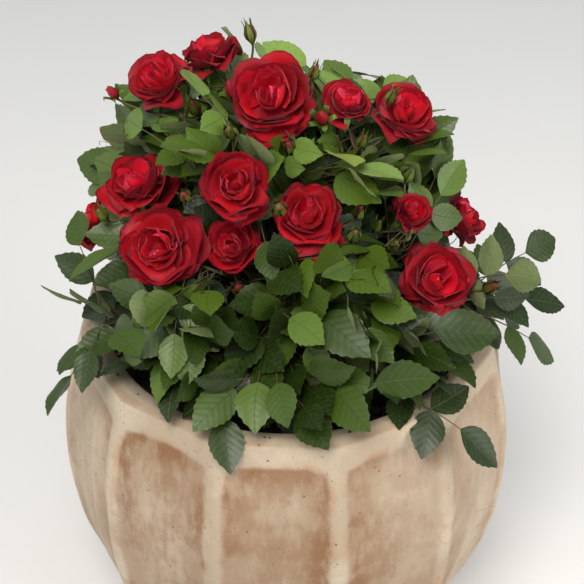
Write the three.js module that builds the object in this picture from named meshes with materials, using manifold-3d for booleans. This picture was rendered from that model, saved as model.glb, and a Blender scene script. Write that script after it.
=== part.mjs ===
// A red garden rose that grows in a twelve-sided, lime-washed terracotta pot.
// Millimetres, +Z up. The origin is the middle of the pot's flat underside, -Y is the front.
import * as THREE from "three";
import { mergeVertices } from "three/addons/utils/BufferGeometryUtils.js";
import Module from "manifold-3d";

const wasm = await Module();
wasm.setup();

// Pot
const POT_SIDES = 12;
const POT_TURN = THREE.MathUtils.degToRad(12); // turns the facets so that one faces the front
const SHOULDER_Z = 385; // height of the line where the facets meet the rim
const SHOULDER_R = 204; // to a corner
const BELLY_Z = 248;
const BELLY_R = 228;
const FOOT_R = 142;
const FOOT_EDGE = 5; // rounded off under the facets
const MOUTH_R = 173;
const RIM_CREST_R = 191;
const RIM_RISE = 3; // the crest over the shoulder line
const LIP_DROP = 4; // the mouth's edge under the shoulder line
const LIP_DEEP = 10;
const WALL = 18;
const FLOOR = 24;
const FLOOR_FILLET = 10;
const INNER_HEIGHTS = [110, BELLY_Z, 350]; // where the wall's inside bends

// Soil
const SOIL_Z = 350;
const SOIL_CROWN = 6; // how far the middle stands over the edge
const STEM_SEAT_R = 34; // flat patch under the stem
const GAP = 0.3; // between solids that touch

// Stem: [radius, share of its height]
const STEM_TALL = 42;
const STEM_FORM = [[24, 0], [17, 0.3], [17, 0.6], [23, 0.82], [20, 1]];
const STEM_SIDES = 10;

// Canes
const CANE_FOOT_R = 4.2;
const CANE_TIP_R = 2.6;
const CANE_SIDES = 4;
const CANE_STEPS = 5;

// Masses of foliage in three rings. Each tip is a compass angle, a reach, and a height over the rim.
// The ring's cane leaves the stem at rootR and rootDrop under its top. It ends, and the mass's main twig
// begins, at a share of the tip's reach and a drop under it.
const RINGS = [
  {
    rootR: 13, rootDrop: 19, entryShare: 0.5, entryDrop: 26,
    tips: [
      [0, 84, 40], [42, 120, 34], [84, 176, 42], [132, 138, 36],
      [180, 126, 38], [228, 138, 36], [288, 174, 26], [326, 116, 38],
    ],
  },
  {
    rootR: 14.5, rootDrop: 5, entryShare: 0.5, entryDrop: 48,
    tips: [
      [20, 66, 96], [70, 115, 112], [120, 105, 110], [170, 105, 104],
      [222, 105, 108], [272, 128, 128], [322, 95, 100],
    ],
  },
  {
    rootR: 6.4, rootDrop: 5, entryShare: 0.55, entryDrop: 58,
    tips: [[35, 20, 174], [112, 66, 160], [198, 60, 165], [290, 66, 182]],
  },
];
const SPACE_SLACK = 30; // how far a leaf may reach past the middle plane between two masses
const CROWN_MIDDLE = new THREE.Vector3(0, 0, SHOULDER_Z + 10); // leaves turn away from it

// Twigs
const TWIG_R = 2.2;
const TWIG_TIP_R = 1.3;
const TWIG_ARCH = 9;
const MAIN_SPOTS = [0.3, 0.55, 0.8, 1]; // where leaves stand on a main twig
const SHOOTS = 2; // side twigs on a main twig
const SHOOT = { footR: 1.5, tipR: 1.2, shortest: 30, longest: 54, spots: [0.5, 1] };
const TURNS = [0, 0.7, -0.7, 1.4, -1.4, 2.2, -2.2, 3]; // tried in turn until a leaf fits

// Compound leaves. Their leaflets are larger than life, since there are fewer of them.
const LEAF_STALK = 20; // bare length before the first pair of leaflets
const LEAFLET_STEP = 28; // between pairs, and on to the end leaflet
const LEAFLET = { long: 50, wide: 34, thick: 1.2, fold: 4 };
const RACHIS_HALF = 0.8;
const NECK = 1.5; // half of what a side leaflet takes of the rachis

// Blooms: the mass each grows from, then right of the middle, behind it, over the rim, across, how far open,
// and the directions in which buds stand round it, in degrees.
const BLOOMS = [
  [19, -119, 53, 230, 60, 1, [200, 320]],
  [18, -74, 87, 240, 56, 0.6, [20, 235]],
  [16, -16, 13, 235, 74, 1, [335]],
  [17, 54, 25, 220, 42, 0.35, [140]],
  [17, 110, 36, 205, 58, 1, []],
  [14, -139, 2, 150, 61, 0.6, [225]],
  [19, -46, -60, 187, 62, 0.8, [330]],
  [9, 18, -52, 150, 64, 1, [270]],
  [10, 114, -21, 130, 42, 0.35, [200]],
  [15, -50, -64, 124, 52, 0.8, [280]],
  [15, -115, -73, 130, 76, 1, []],
  [3, 140, -47, 75, 70, 1, [350]],
  [12, 20, 128, 130, 62, 0.8, [40]],
  [4, 108, 120, 118, 66, 1, [130]],
  [13, -62, 158, 112, 70, 1, [60]],
  [6, -142, 112, 108, 62, 0.8, [150]],
  [3, 172, 52, 78, 56, 0.6, []],
  [5, 48, 186, 62, 60, 1, [90]],
  [6, -190, 58, 70, 58, 1, []],
];
const BLOOM_SIDES = 10;
const BLOOM_LEAN_FRONT = 40; // blooms turn away from a point this far behind the middle
const STALK_R = 1.7;
const BUD = { long: 20, radius: 4.6, stalkR: 1.1, beyond: 14, ahead: 8 };
const SHOWN_UP = new THREE.Vector3(0, 0.61, 0.79); // up, as seen from the front and above

const UP = new THREE.Vector3(0, 0, 1);
const SPIRAL = THREE.MathUtils.degToRad(137.5);
const TAU = 2 * Math.PI;
const FRAME_STEPS = 60; // how finely a curve's own directions are worked out
const FINEST = 0.1; // slivers thinner than this are smoothed away

const green = new THREE.MeshStandardMaterial({ color: 0x3f6b2c, roughness: 0.5, metalness: 0 });
const crimson = new THREE.MeshStandardMaterial({ color: 0x9c0a18, roughness: 0.6, metalness: 0 });
const bark = new THREE.MeshStandardMaterial({ color: 0x5d6a35, roughness: 0.6, metalness: 0 });
const clay = new THREE.MeshStandardMaterial({ color: 0xcfb090, roughness: 0.9, metalness: 0 });
const earth = new THREE.MeshStandardMaterial({ color: 0x2b211a, roughness: 1, metalness: 0 });

// A closed geometry as a solid that can be joined and cut.
function solidOf(geometry) {
  const bare = geometry.clone();
  bare.deleteAttribute("normal");
  bare.deleteAttribute("uv");
  const merged = mergeVertices(bare, 1e-4);
  return new wasm.Manifold(
    new wasm.Mesh({
      numProp: 3,
      vertProperties: new Float32Array(merged.attributes.position.array),
      triVerts: new Uint32Array(merged.index.array),
    }),
  );
}

function join(solids) {
  return solids.reduce((whole, piece) => whole.add(piece));
}

// The largest of the bodies that a cut or a join leaves.
function largest(solid) {
  const [whole] = solid.decompose().sort((a, b) => b.volume() - a.volume());
  return whole;
}

// A solid as a named mesh whose own origin is at `foot`.
function meshOf(name, solid, material, foot = new THREE.Vector3()) {
  const { vertProperties, triVerts } = solid.getMesh();
  const geometry = new THREE.BufferGeometry();
  geometry.setAttribute("position", new THREE.BufferAttribute(Float32Array.from(vertProperties), 3));
  geometry.setIndex(new THREE.BufferAttribute(Uint32Array.from(triVerts), 1));
  geometry.translate(-foot.x, -foot.y, -foot.z);
  geometry.computeVertexNormals();
  const mesh = new THREE.Mesh(geometry, material);
  mesh.name = name;
  mesh.position.copy(foot);
  return mesh;
}

// Even numbers from 0 to 1, the same each time for the same seed.
class Draw {
  constructor(seed) {
    this.state = (seed * 2654435761) % 4294967296;
  }
  next() {
    this.state = (this.state * 1664525 + 1013904223) % 4294967296;
    return this.state / 4294967296;
  }
  between(low, high) {
    return low + (high - low) * this.next();
  }
}

// A point at a compass angle round the pot, in degrees: 0 is the front and 90 the right.
function around(angle, radius, height) {
  const a = THREE.MathUtils.degToRad(angle);
  return new THREE.Vector3(radius * Math.sin(a), -radius * Math.cos(a), SHOULDER_Z + height);
}

function outward(point) {
  return point.clone().sub(CROWN_MIDDLE).normalize();
}

// Two unit vectors square to an axis.
function sides(axis) {
  const other = Math.abs(axis.z) < 0.9 ? UP : new THREE.Vector3(1, 0, 0);
  const across = new THREE.Vector3().crossVectors(axis, other).normalize();
  return [across, new THREE.Vector3().crossVectors(across, axis).normalize()];
}

// A limb along a curve, through rings of [share of the way, radius].
function limb(curve, rings, sidesRound) {
  const steps = rings.length - 1;
  const geometry = new THREE.CylinderGeometry(1, 1, 1, sidesRound, steps);
  const frames = curve.computeFrenetFrames(FRAME_STEPS);
  const at = geometry.attributes.position;
  const v = new THREE.Vector3();
  for (let i = 0; i < at.count; i++) {
    v.fromBufferAttribute(at, i);
    const [share, radius] = rings[Math.round((v.y + 0.5) * steps)];
    const k = Math.round(share * FRAME_STEPS);
    const point = curve.getPointAt(share);
    point.addScaledVector(frames.normals[k], v.x * radius).addScaledVector(frames.binormals[k], -v.z * radius);
    at.setXYZ(i, point.x, point.y, point.z);
  }
  return solidOf(geometry);
}

// Evenly spaced rings that taper from one radius to another.
function taper(footR, tipR, steps) {
  return Array.from({ length: steps + 1 }, (_, k) => [k / steps, footR + ((tipR - footR) * k) / steps]);
}

function bend(from, middle, to) {
  return new THREE.QuadraticBezierCurve3(from, middle, to);
}

// Half width of the facet outline at an angle, as a share of the corner radius.
function facet(angle) {
  const step = TAU / POT_SIDES;
  const off = ((((angle - POT_TURN) % step) + step) % step) - step / 2;
  return Math.cos(step / 2) / Math.cos(off);
}

// Corner radius of the pot's outside at a height.
function bodyR(z) {
  if (z > BELLY_Z) {
    const t = (z - BELLY_Z) / (SHOULDER_Z - BELLY_Z);
    return BELLY_R - (BELLY_R - SHOULDER_R) * t * t;
  }
  const t = (BELLY_Z - z) / BELLY_Z;
  return BELLY_R - (BELLY_R - FOOT_R) * (0.55 * t * t + 0.45 * t ** 3);
}

// Revolves [radius, height, facet share] rows, and presses the facets in where the share is 1.
function facetedTurning(rows) {
  const points = rows.map(([r, z]) => new THREE.Vector2(r, z));
  const geometry = new THREE.LatheGeometry(points, 2 * POT_SIDES, POT_TURN);
  const at = geometry.attributes.position;
  for (let i = 0; i < at.count; i++) {
    const share = rows[i % rows.length][2];
    const x = at.getX(i);
    const y = -at.getZ(i);
    const press = 1 + share * (facet(Math.atan2(y, x)) - 1);
    at.setXYZ(i, x * press, y * press, at.getY(i));
  }
  return solidOf(geometry);
}

// Radius of the pot's round inside at a height.
function innerR(z) {
  return bodyR(z) * Math.cos(Math.PI / POT_SIDES) - WALL;
}

function potSolid() {
  const rows = [[0, 0, 1], [FOOT_R - FOOT_EDGE, 0, 1], [FOOT_R, FOOT_EDGE, 1]];
  for (const share of [0.2, 0.4, 0.6, 0.8, 1]) rows.push([bodyR(BELLY_Z * share), BELLY_Z * share, 1]);
  for (const share of [0.35, 0.65, 0.85, 1]) {
    const z = BELLY_Z + (SHOULDER_Z - BELLY_Z) * share;
    rows.push([bodyR(z), z, 1]);
  }
  rows.push([RIM_CREST_R, SHOULDER_Z + RIM_RISE, 0.5]);
  rows.push([MOUTH_R + LIP_DROP, SHOULDER_Z, 0]);
  rows.push([MOUTH_R, SHOULDER_Z - LIP_DROP, 0]);
  rows.push([MOUTH_R, SHOULDER_Z - LIP_DROP - LIP_DEEP, 0]);
  for (const z of [...INNER_HEIGHTS].reverse()) rows.push([innerR(z), z, 0]);
  rows.push([innerR(FLOOR) - FLOOR_FILLET, FLOOR, 0], [0, FLOOR, 0]);
  return facetedTurning(rows);
}

function soilSolid() {
  const rows = [[0, FLOOR + GAP, 0], [innerR(FLOOR) - FLOOR_FILLET - GAP, FLOOR + GAP, 0]];
  for (const z of INNER_HEIGHTS) rows.push([innerR(z) - 2 * GAP, z, 0]);
  rows.push([STEM_SEAT_R, SOIL_Z + SOIL_CROWN, 0], [0, SOIL_Z + SOIL_CROWN, 0]);
  return facetedTurning(rows);
}

const STEM_FOOT_Z = SOIL_Z + SOIL_CROWN + GAP;
const STEM_TOP_Z = STEM_FOOT_Z + STEM_TALL;

function stemSolid(grow) {
  const points = [new THREE.Vector2(0, STEM_FOOT_Z - grow)];
  for (const [r, share] of STEM_FORM) {
    const rise = share === 0 ? -grow : share === 1 ? grow : 0;
    points.push(new THREE.Vector2(r + grow, STEM_FOOT_Z + STEM_TALL * share + rise));
  }
  points.push(new THREE.Vector2(0, STEM_TOP_Z + grow));
  return solidOf(new THREE.LatheGeometry(points, STEM_SIDES).rotateX(Math.PI / 2));
}

// Every mass with its cane's root, the entry where its main twig takes over, that twig, and its own middle.
const masses = [];
for (const { rootR, rootDrop, entryShare, entryDrop, tips } of RINGS) {
  for (const [angle, reach, height] of tips) {
    const tip = around(angle, reach, height);
    const entry = around(angle, reach * entryShare, height - entryDrop);
    const arch = entry.clone().lerp(tip, 0.5).addScaledVector(UP, TWIG_ARCH);
    masses.push({
      root: around(angle, rootR, STEM_TOP_Z - rootDrop - SHOULDER_Z),
      entry,
      twig: bend(entry, arch, tip),
      middle: entry.clone().lerp(tip, 0.72),
      blooms: [],
    });
  }
}

for (const [from, x, y, z, across, open, buds] of BLOOMS) {
  const centre = new THREE.Vector3(x, y, SHOULDER_Z + z);
  const faces = new THREE.Vector3(x, y - BLOOM_LEAN_FRONT, 0).normalize();
  faces.z = 0.55 + z / 300; // the higher the bloom, the more it looks up
  masses[from - 1].blooms.push({ centre, faces: faces.normalize(), radius: across / 2, open, buds });
}

// A mass's own space is all that is nearer to its middle than to any other's, give or take the slack.
function inSpace(mass, point) {
  const own = point.distanceTo(mass.middle);
  return masses.every((other) => other === mass || point.distanceTo(other.middle) + SPACE_SLACK > own);
}

function staysInSpace(mass, geometry) {
  const at = geometry.attributes.position;
  const corner = new THREE.Vector3();
  for (let i = 0; i < at.count; i++) {
    if (!inSpace(mass, corner.fromBufferAttribute(at, i))) return false;
  }
  return true;
}

// What is left to chance in a compound leaf: two pairs of leaflets and an end leaflet.
function drawLeaf(draw) {
  const scale = draw.between(0.84, 1.06);
  const lean = [draw.between(-0.35, 0.35), draw.between(-0.35, 0.35)];
  const droop = draw.between(0.06, 0.26);
  const swing = draw.between(1, 1.2);
  const leaflets = [[0, -1], [0, 1], [1, -1], [1, 1], [2, 0]].map(([pair, side]) => ({
    pair,
    side,
    swing: side * (swing + draw.between(-0.05, 0.05)),
    lift: draw.between(-0.26, 0.12),
    roll: draw.between(-0.3, 0.3),
    size: scale * (0.74 + 0.13 * pair) * draw.between(0.94, 1.06),
  }));
  return { scale, lean, droop, leaflets };
}

// A direction off a twig, turned about it and pulled outward and along it.
function offTwig(curve, t, turn, out, lift) {
  const axis = curve.getTangent(t);
  const [right, front] = sides(axis);
  const heading = right.multiplyScalar(Math.cos(turn)).addScaledVector(front, Math.sin(turn));
  return heading.addScaledVector(outward(curve.getPoint(t)), out).addScaledVector(axis, lift).normalize();
}

// A drawn leaf in its place on a twig: the rachis droops, and its face turns to the light.
function poseLeaf(leaf, twig, t, turn) {
  const foot = twig.getPoint(t);
  const heading = offTwig(twig, t, turn, 0.7, 0.35);
  const light = outward(foot).multiplyScalar(0.8).addScaledVector(UP, 0.75);
  light.x += leaf.lean[0];
  light.y += leaf.lean[1];
  const normal = light.addScaledVector(heading, -light.dot(heading)).normalize();
  const reach = (LEAF_STALK + 2 * LEAFLET_STEP) * leaf.scale;
  const end = foot.clone().addScaledVector(heading, reach).addScaledVector(UP, -reach * leaf.droop);
  return { ...leaf, normal, curve: bend(foot, foot.clone().addScaledVector(heading, reach * 0.5), end) };
}

// A compound leaf as one closed thin body. Its rachis is square, and each leaflet grows out of a face of it.
function leafGeometry({ curve, normal, scale, leaflets }) {
  const points = [];
  const faces = [];
  const reach = (LEAF_STALK + 2 * LEAFLET_STEP) * scale;
  const ring = (distance) => {
    const t = distance / reach;
    const along = curve.getTangent(t);
    const across = new THREE.Vector3().crossVectors(normal, along).normalize();
    const face = new THREE.Vector3().crossVectors(along, across);
    const middle = curve.getPoint(t);
    const first = points.length;
    for (const [y, z] of [[-1, -1], [1, -1], [1, 1], [-1, 1]]) {
      const corner = middle.clone().addScaledVector(across, y * RACHIS_HALF);
      points.push(corner.addScaledVector(face, z * RACHIS_HALF));
    }
    return { corners: [first, first + 1, first + 2, first + 3], middle, along, across, face };
  };
  const quad = (a, b, c, d) => faces.push(a, b, c, a, c, d);

  // From a face of the rachis, its corners going round as seen from the leaflet: low, low, high, high.
  const blade = ([low0, low1, high1, high0], root, { swing, lift, roll, size }) => {
    const along = root.along.clone().multiplyScalar(Math.cos(swing));
    along.addScaledVector(root.across, Math.sin(swing)).addScaledVector(root.face, lift).normalize();
    const face = root.face.clone().addScaledVector(root.across, roll);
    const across = new THREE.Vector3().crossVectors(face, along).normalize();
    face.crossVectors(along, across);
    const spot = (x, y, z) => {
      const point = root.middle.clone().addScaledVector(along, x * LEAFLET.long * size);
      point.addScaledVector(across, y * LEAFLET.wide * size).addScaledVector(face, z);
      return points.push(point) - 1;
    };
    const edge = [[0.3, -0.47], [0.7, -0.36], [1, 0], [0.7, 0.36], [0.3, 0.47]].map(([x, y]) =>
      spot(x, y, y === 0 ? 0 : LEAFLET.fold * size),
    );
    const top = spot(0.42, 0, LEAFLET.thick / 2);
    const under = spot(0.42, 0, -LEAFLET.thick / 2);
    const upper = [high0, ...edge, high1];
    const lower = [low0, ...edge, low1];
    upper.forEach((point, i) => faces.push(point, upper[(i + 1) % upper.length], top));
    lower.forEach((point, i) => faces.push(lower[(i + 1) % lower.length], point, under));
    faces.push(low0, edge[0], high0, edge[4], low1, high1);
  };

  const stalk = LEAF_STALK * scale;
  const step = LEAFLET_STEP * scale;
  const places = [0, stalk - NECK, stalk + NECK, stalk + step - NECK, stalk + step + NECK, reach];
  const rings = places.map(ring);
  for (let i = 0; i + 1 < rings.length; i++) {
    const [a0, a1, a2, a3] = rings[i].corners;
    const [b0, b1, b2, b3] = rings[i + 1].corners;
    quad(a3, b3, b2, a2);
    quad(a0, a1, b1, b0);
    const root = { ...rings[i], middle: rings[i].middle.clone().lerp(rings[i + 1].middle, 0.5) };
    for (const [side, ...mouth] of [[1, b1, a1, a2, b2], [-1, a0, b0, b3, a3]]) {
      const leaflet = leaflets.find((one) => one.side === side && 2 * one.pair + 1 === i);
      if (leaflet) blade(mouth, root, leaflet);
      else quad(...mouth);
    }
  }
  quad(...[...rings[0].corners].reverse());
  blade(rings.at(-1).corners, rings.at(-1), leaflets.at(-1));
  const geometry = new THREE.BufferGeometry();
  geometry.setAttribute("position", new THREE.Float32BufferAttribute(points.flatMap((p) => p.toArray()), 3));
  geometry.setIndex(faces);
  return geometry;
}

// The main twig of a mass and its side twigs, by the seeded rule, with the spots and draws of their leaves.
function growth(mass, seed) {
  const draw = new Draw(seed);
  const turn = draw.between(0, TAU);
  const spotsAt = (places, first) =>
    places.map((t, i) => ({ t, turn: first + i * SPIRAL, leaf: drawLeaf(draw) }));
  const shoots = [{ curve: mass.twig, spots: spotsAt(MAIN_SPOTS, turn) }];
  for (let s = 0; s < SHOOTS; s++) {
    const t = 0.1 + (0.8 * (s + draw.between(0.1, 0.9))) / SHOOTS;
    const way = turn + 1.2 + s * SPIRAL;
    const heading = offTwig(mass.twig, t, way, 0.45, 0.4);
    const foot = mass.twig.getPoint(t);
    const long = draw.between(SHOOT.shortest, SHOOT.longest);
    const tip = foot.clone().addScaledVector(heading, long).addScaledVector(UP, long * 0.1);
    const curve = bend(foot, foot.clone().addScaledVector(heading, long * 0.5), tip);
    shoots.push({ curve, spots: spotsAt(SHOOT.spots, way + 1.6) });
  }
  return shoots;
}

// A bloom as one cupped solid: broad outer petals in five waves round a standing heart.
function bloomSolid({ centre, faces, radius, open }) {
  const shut = 1 - open;
  const form = [
    [0, -0.62], [0.22, -0.58], [0.8 - 0.12 * shut, -0.22], [1 - 0.2 * shut, 0.16 + 0.4 * shut],
    [0.66 - 0.08 * shut, 0.02 + 0.3 * shut], [0.36, 0.36 + 0.22 * shut], [0, 0.3 + 0.2 * shut],
  ];
  const petalRow = 3;
  const points = form.map(([r, z]) => new THREE.Vector2(r * radius, z * radius));
  const geometry = new THREE.LatheGeometry(points, BLOOM_SIDES);
  const at = geometry.attributes.position;
  for (let i = petalRow; i < at.count; i += form.length) {
    const wave = 0.05 * Math.cos(5 * Math.atan2(at.getX(i), at.getZ(i)));
    at.setXYZ(i, at.getX(i) * (1 + wave), at.getY(i) + 0.6 * wave * radius, at.getZ(i) * (1 + wave));
  }
  const turn = new THREE.Quaternion().setFromUnitVectors(UP, faces);
  return solidOf(geometry.rotateX(Math.PI / 2).applyQuaternion(turn).translate(...centre.toArray()));
}

// A flowering twig: a stalk, its bloom and its buds, fused. The first goes on from the tip of the mass's
// main twig, 0.3 mm clear of it, and each further one leaves that twig's side lower down.
function floweringTwig(bloom, twig, place) {
  const { centre, faces, radius } = bloom;
  const onward = twig.getTangent(1);
  const foot = place === 0 ? twig.getPoint(1).addScaledVector(onward, GAP) : twig.getPoint(0.92 - 0.3 * place);
  const calyx = centre.clone().addScaledVector(faces, -0.6 * radius);
  const long = foot.distanceTo(calyx);
  const leave = foot.clone().addScaledVector(onward, 0.35 * long);
  const arrive = calyx.clone().addScaledVector(faces, -0.35 * long);
  const stalk = new THREE.CubicBezierCurve3(foot, leave, arrive, calyx);
  const pieces = [limb(stalk, taper(STALK_R, STALK_R, 4), 3), bloomSolid(bloom)];
  for (const degrees of bloom.buds) {
    const a = THREE.MathUtils.degToRad(degrees);
    const way = new THREE.Vector3(Math.cos(a), 0, 0).addScaledVector(SHOWN_UP, Math.sin(a));
    const tip = centre.clone().addScaledVector(way, radius + BUD.beyond).addScaledVector(faces, BUD.ahead);
    const under = tip.clone().addScaledVector(faces, -1.1 * radius);
    const curve = bend(stalk.getPoint(0.55), under, tip);
    const share = BUD.long / curve.getLength();
    const rings = [
      [0, BUD.stalkR], [0.5, BUD.stalkR], [1 - share, BUD.stalkR],
      [1 - 0.75 * share, BUD.radius], [1 - 0.4 * share, 0.9 * BUD.radius], [1, 0.4],
    ];
    pieces.push(limb(curve, rings, 4));
  }
  return { solid: join(pieces), foot };
}

// The stiff pieces come first, so that leaves can give way to them.
const plant = new THREE.Group();
const built = []; // every finished solid with its box

const boxed = (solid) => ({ solid, box: solid.boundingBox() });
const numbered = (name, k) => `${name}_${String(k + 1).padStart(2, "0")}`;

function keep(name, solid, material, foot) {
  const finished = solid.asOriginal().simplify(FINEST);
  plant.add(meshOf(name, finished, material, foot));
  built.push(boxed(finished));
}

function touches(solid, others) {
  const { min, max } = solid.boundingBox();
  return others.some(({ solid: other, box }) => {
    const apart = [0, 1, 2].some((axis) => min[axis] > box.max[axis] || max[axis] < box.min[axis]);
    return !apart && solid.intersect(other).volume() > 1e-6;
  });
}

keep("pot", potSolid(), clay);
keep("soil", soilSolid(), earth);
keep("stem", stemSolid(0), bark, new THREE.Vector3(0, 0, STEM_FOOT_Z));

const stemGuard = stemSolid(GAP);
masses.forEach(({ root, entry, twig }, k) => {
  const arriving = twig.getTangent(0);
  const end = entry.clone().addScaledVector(arriving, -GAP);
  const long = root.distanceTo(end);
  const leave = root.clone().lerp(end, 0.3).addScaledVector(UP, 0.12 * long);
  const arrive = end.clone().addScaledVector(arriving, -0.3 * long);
  const curve = new THREE.CubicBezierCurve3(root, leave, arrive, end);
  const cane = limb(curve, taper(CANE_FOOT_R, CANE_TIP_R, CANE_STEPS), CANE_SIDES);
  keep(numbered("cane", k), largest(cane.subtract(stemGuard)), bark, root);
});

let bloomCount = 0;
for (const { twig, blooms } of masses) {
  const guard = limb(twig, taper(TWIG_R + 1.4 * GAP, TWIG_TIP_R + 1.4 * GAP, 8), 6);
  blooms.forEach((bloom, place) => {
    const { solid, foot } = floweringTwig(bloom, twig, place);
    keep(numbered("bloom", bloomCount), largest(solid.subtract(guard)), crimson, foot);
    bloomCount += 1;
  });
}

const mainTwigs = masses.map(({ twig }) => boxed(limb(twig, taper(TWIG_R, TWIG_TIP_R, 3), 3)));
masses.forEach((mass, k) => {
  const near = [...built, ...mainTwigs.filter((_, other) => other !== k)];
  const twigs = [mainTwigs[k]];
  const leaves = [];

  // The first turn at which a leaf fits on a twig, whole or without its lowest pair.
  const fitted = ({ t, turn, leaf }, twig) => {
    const trimmed = { ...leaf, leaflets: leaf.leaflets.filter(({ pair }) => pair > 0) };
    for (const form of [leaf, trimmed]) {
      for (const extra of TURNS) {
        const geometry = leafGeometry(poseLeaf(form, twig, t, turn + extra));
        if (!staysInSpace(mass, geometry)) continue;
        const solid = solidOf(geometry);
        if (!touches(solid, near) && !touches(solid, leaves)) return solid;
      }
    }
  };

  for (const { curve, spots } of growth(mass, k + 1)) {
    const shoot = curve === mass.twig ? null : limb(curve, taper(SHOOT.footR, SHOOT.tipR, 2), 3);
    if (shoot && (!inSpace(mass, curve.getPoint(1)) || touches(shoot, [...near, ...leaves]))) continue;
    const fitting = spots.map((spot) => {
      const solid = fitted(spot, curve);
      if (solid) leaves.push(boxed(solid));
      return solid;
    });
    if (shoot && fitting.some(Boolean)) twigs.push(boxed(shoot));
  }
  const solids = [...twigs, ...leaves].map(({ solid }) => solid);
  keep(numbered("foliage", k), largest(join(solids)), green, mass.entry);
});

export default plant;
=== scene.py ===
import itertools
import math

import bmesh
import bpy
import numpy as np
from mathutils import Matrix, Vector, noise
from mathutils.kdtree import KDTree


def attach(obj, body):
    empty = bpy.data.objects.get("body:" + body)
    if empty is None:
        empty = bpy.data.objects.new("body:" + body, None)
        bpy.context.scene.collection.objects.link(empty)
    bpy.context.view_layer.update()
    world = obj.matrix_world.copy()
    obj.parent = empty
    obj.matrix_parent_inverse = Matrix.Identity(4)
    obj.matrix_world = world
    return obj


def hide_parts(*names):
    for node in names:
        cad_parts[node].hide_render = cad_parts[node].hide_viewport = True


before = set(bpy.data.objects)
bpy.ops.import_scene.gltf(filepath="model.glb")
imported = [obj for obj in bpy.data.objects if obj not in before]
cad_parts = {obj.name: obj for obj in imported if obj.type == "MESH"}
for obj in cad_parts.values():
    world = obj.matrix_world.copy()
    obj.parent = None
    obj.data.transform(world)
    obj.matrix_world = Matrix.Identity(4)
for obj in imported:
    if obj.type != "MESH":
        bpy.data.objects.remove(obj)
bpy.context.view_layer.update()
scene = bpy.context.scene
collection = scene.collection

# The studio is a plain pale floor with one wide soft light in front of the pot and above it, two fainter
# ones at its sides, and a pale sky. The camera looks down on the pot's rim from the front.
MM = 0.001
TAU = 2 * math.pi
UP = Vector((0, 0, 1))
RIM_MIDDLE = Vector((0, 0, 385))
LOOK_DOWN = math.radians(37.7)
FORWARD = Vector((0, math.cos(LOOK_DOWN), -math.sin(LOOK_DOWN)))
UPRIGHT = Vector((0, math.sin(LOOK_DOWN), math.cos(LOOK_DOWN)))
EYE_FAR = 1400
EYE = RIM_MIDDLE - EYE_FAR * FORWARD
LENS = 88.3
LENS_SHIFT = (0.0075, 0.0325)
LIT_POINT = Vector((0, 0, 0.4))
NEARLY_WHITE = (1, 0.98, 0.95)
FLOOR_HALF = 6
FLOOR_GREYS = ((0.74, 0.73, 0.71), (0.78, 0.77, 0.75))

camera_data = bpy.data.cameras.new("camera")
camera_data.lens = LENS
camera_data.shift_x, camera_data.shift_y = LENS_SHIFT
camera = bpy.data.objects.new("camera", camera_data)
camera.location = EYE * MM
camera.rotation_euler = FORWARD.to_track_quat("-Z", "Y").to_euler()
collection.objects.link(camera)
scene.camera = camera
scene.view_settings.view_transform = "Standard"


def soft_light(name, place, size, watts, colour):
    data = bpy.data.lights.new(name, "AREA")
    data.shape = "DISK"
    data.size = size
    data.energy = watts
    data.color = colour
    lamp = bpy.data.objects.new(name, data)
    lamp.location = place
    lamp.rotation_euler = (LIT_POINT - lamp.location).to_track_quat("-Z", "Y").to_euler()
    collection.objects.link(lamp)


soft_light("sun_behind_cloud", Vector((-0.4, -1.5, 2.7)), 1.3, 68, (1, 0.97, 0.91))
soft_light("sky_right", Vector((2.2, -1.2, 1.4)), 2.0, 46, NEARLY_WHITE)
soft_light("sky_left", Vector((-2.3, -1, 1.2)), 2.0, 15, NEARLY_WHITE)

world = bpy.data.worlds.new("pale_sky")
world.use_nodes = True
sky = world.node_tree.nodes["Background"]
sky.inputs["Color"].default_value = (0.86, 0.9, 0.95, 1)
sky.inputs["Strength"].default_value = 0.56
scene.world = world


class Reading:
    """A value that varies over a surface. Sums on it add Math nodes to its finish."""

    def __init__(self, finish, socket):
        self.finish, self.socket = finish, socket

    def sum(self, operation, *values):
        return self.finish.add("Math", {"operation": operation}, dict(enumerate(values)))

    def of(self, operation):
        return self.sum(operation, self)

    def __add__(self, other):
        return self.sum("ADD", self, other)

    def __sub__(self, other):
        return self.sum("SUBTRACT", self, other)

    def __rsub__(self, other):
        return self.sum("SUBTRACT", other, self)

    def __mul__(self, other):
        return self.sum("MULTIPLY", self, other)

    def __truediv__(self, other):
        return self.sum("DIVIDE", self, other)

    def __pow__(self, other):
        return self.sum("POWER", self, other)

    def __abs__(self):
        return self.of("ABSOLUTE")

    __radd__ = __add__
    __rmul__ = __mul__


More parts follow.
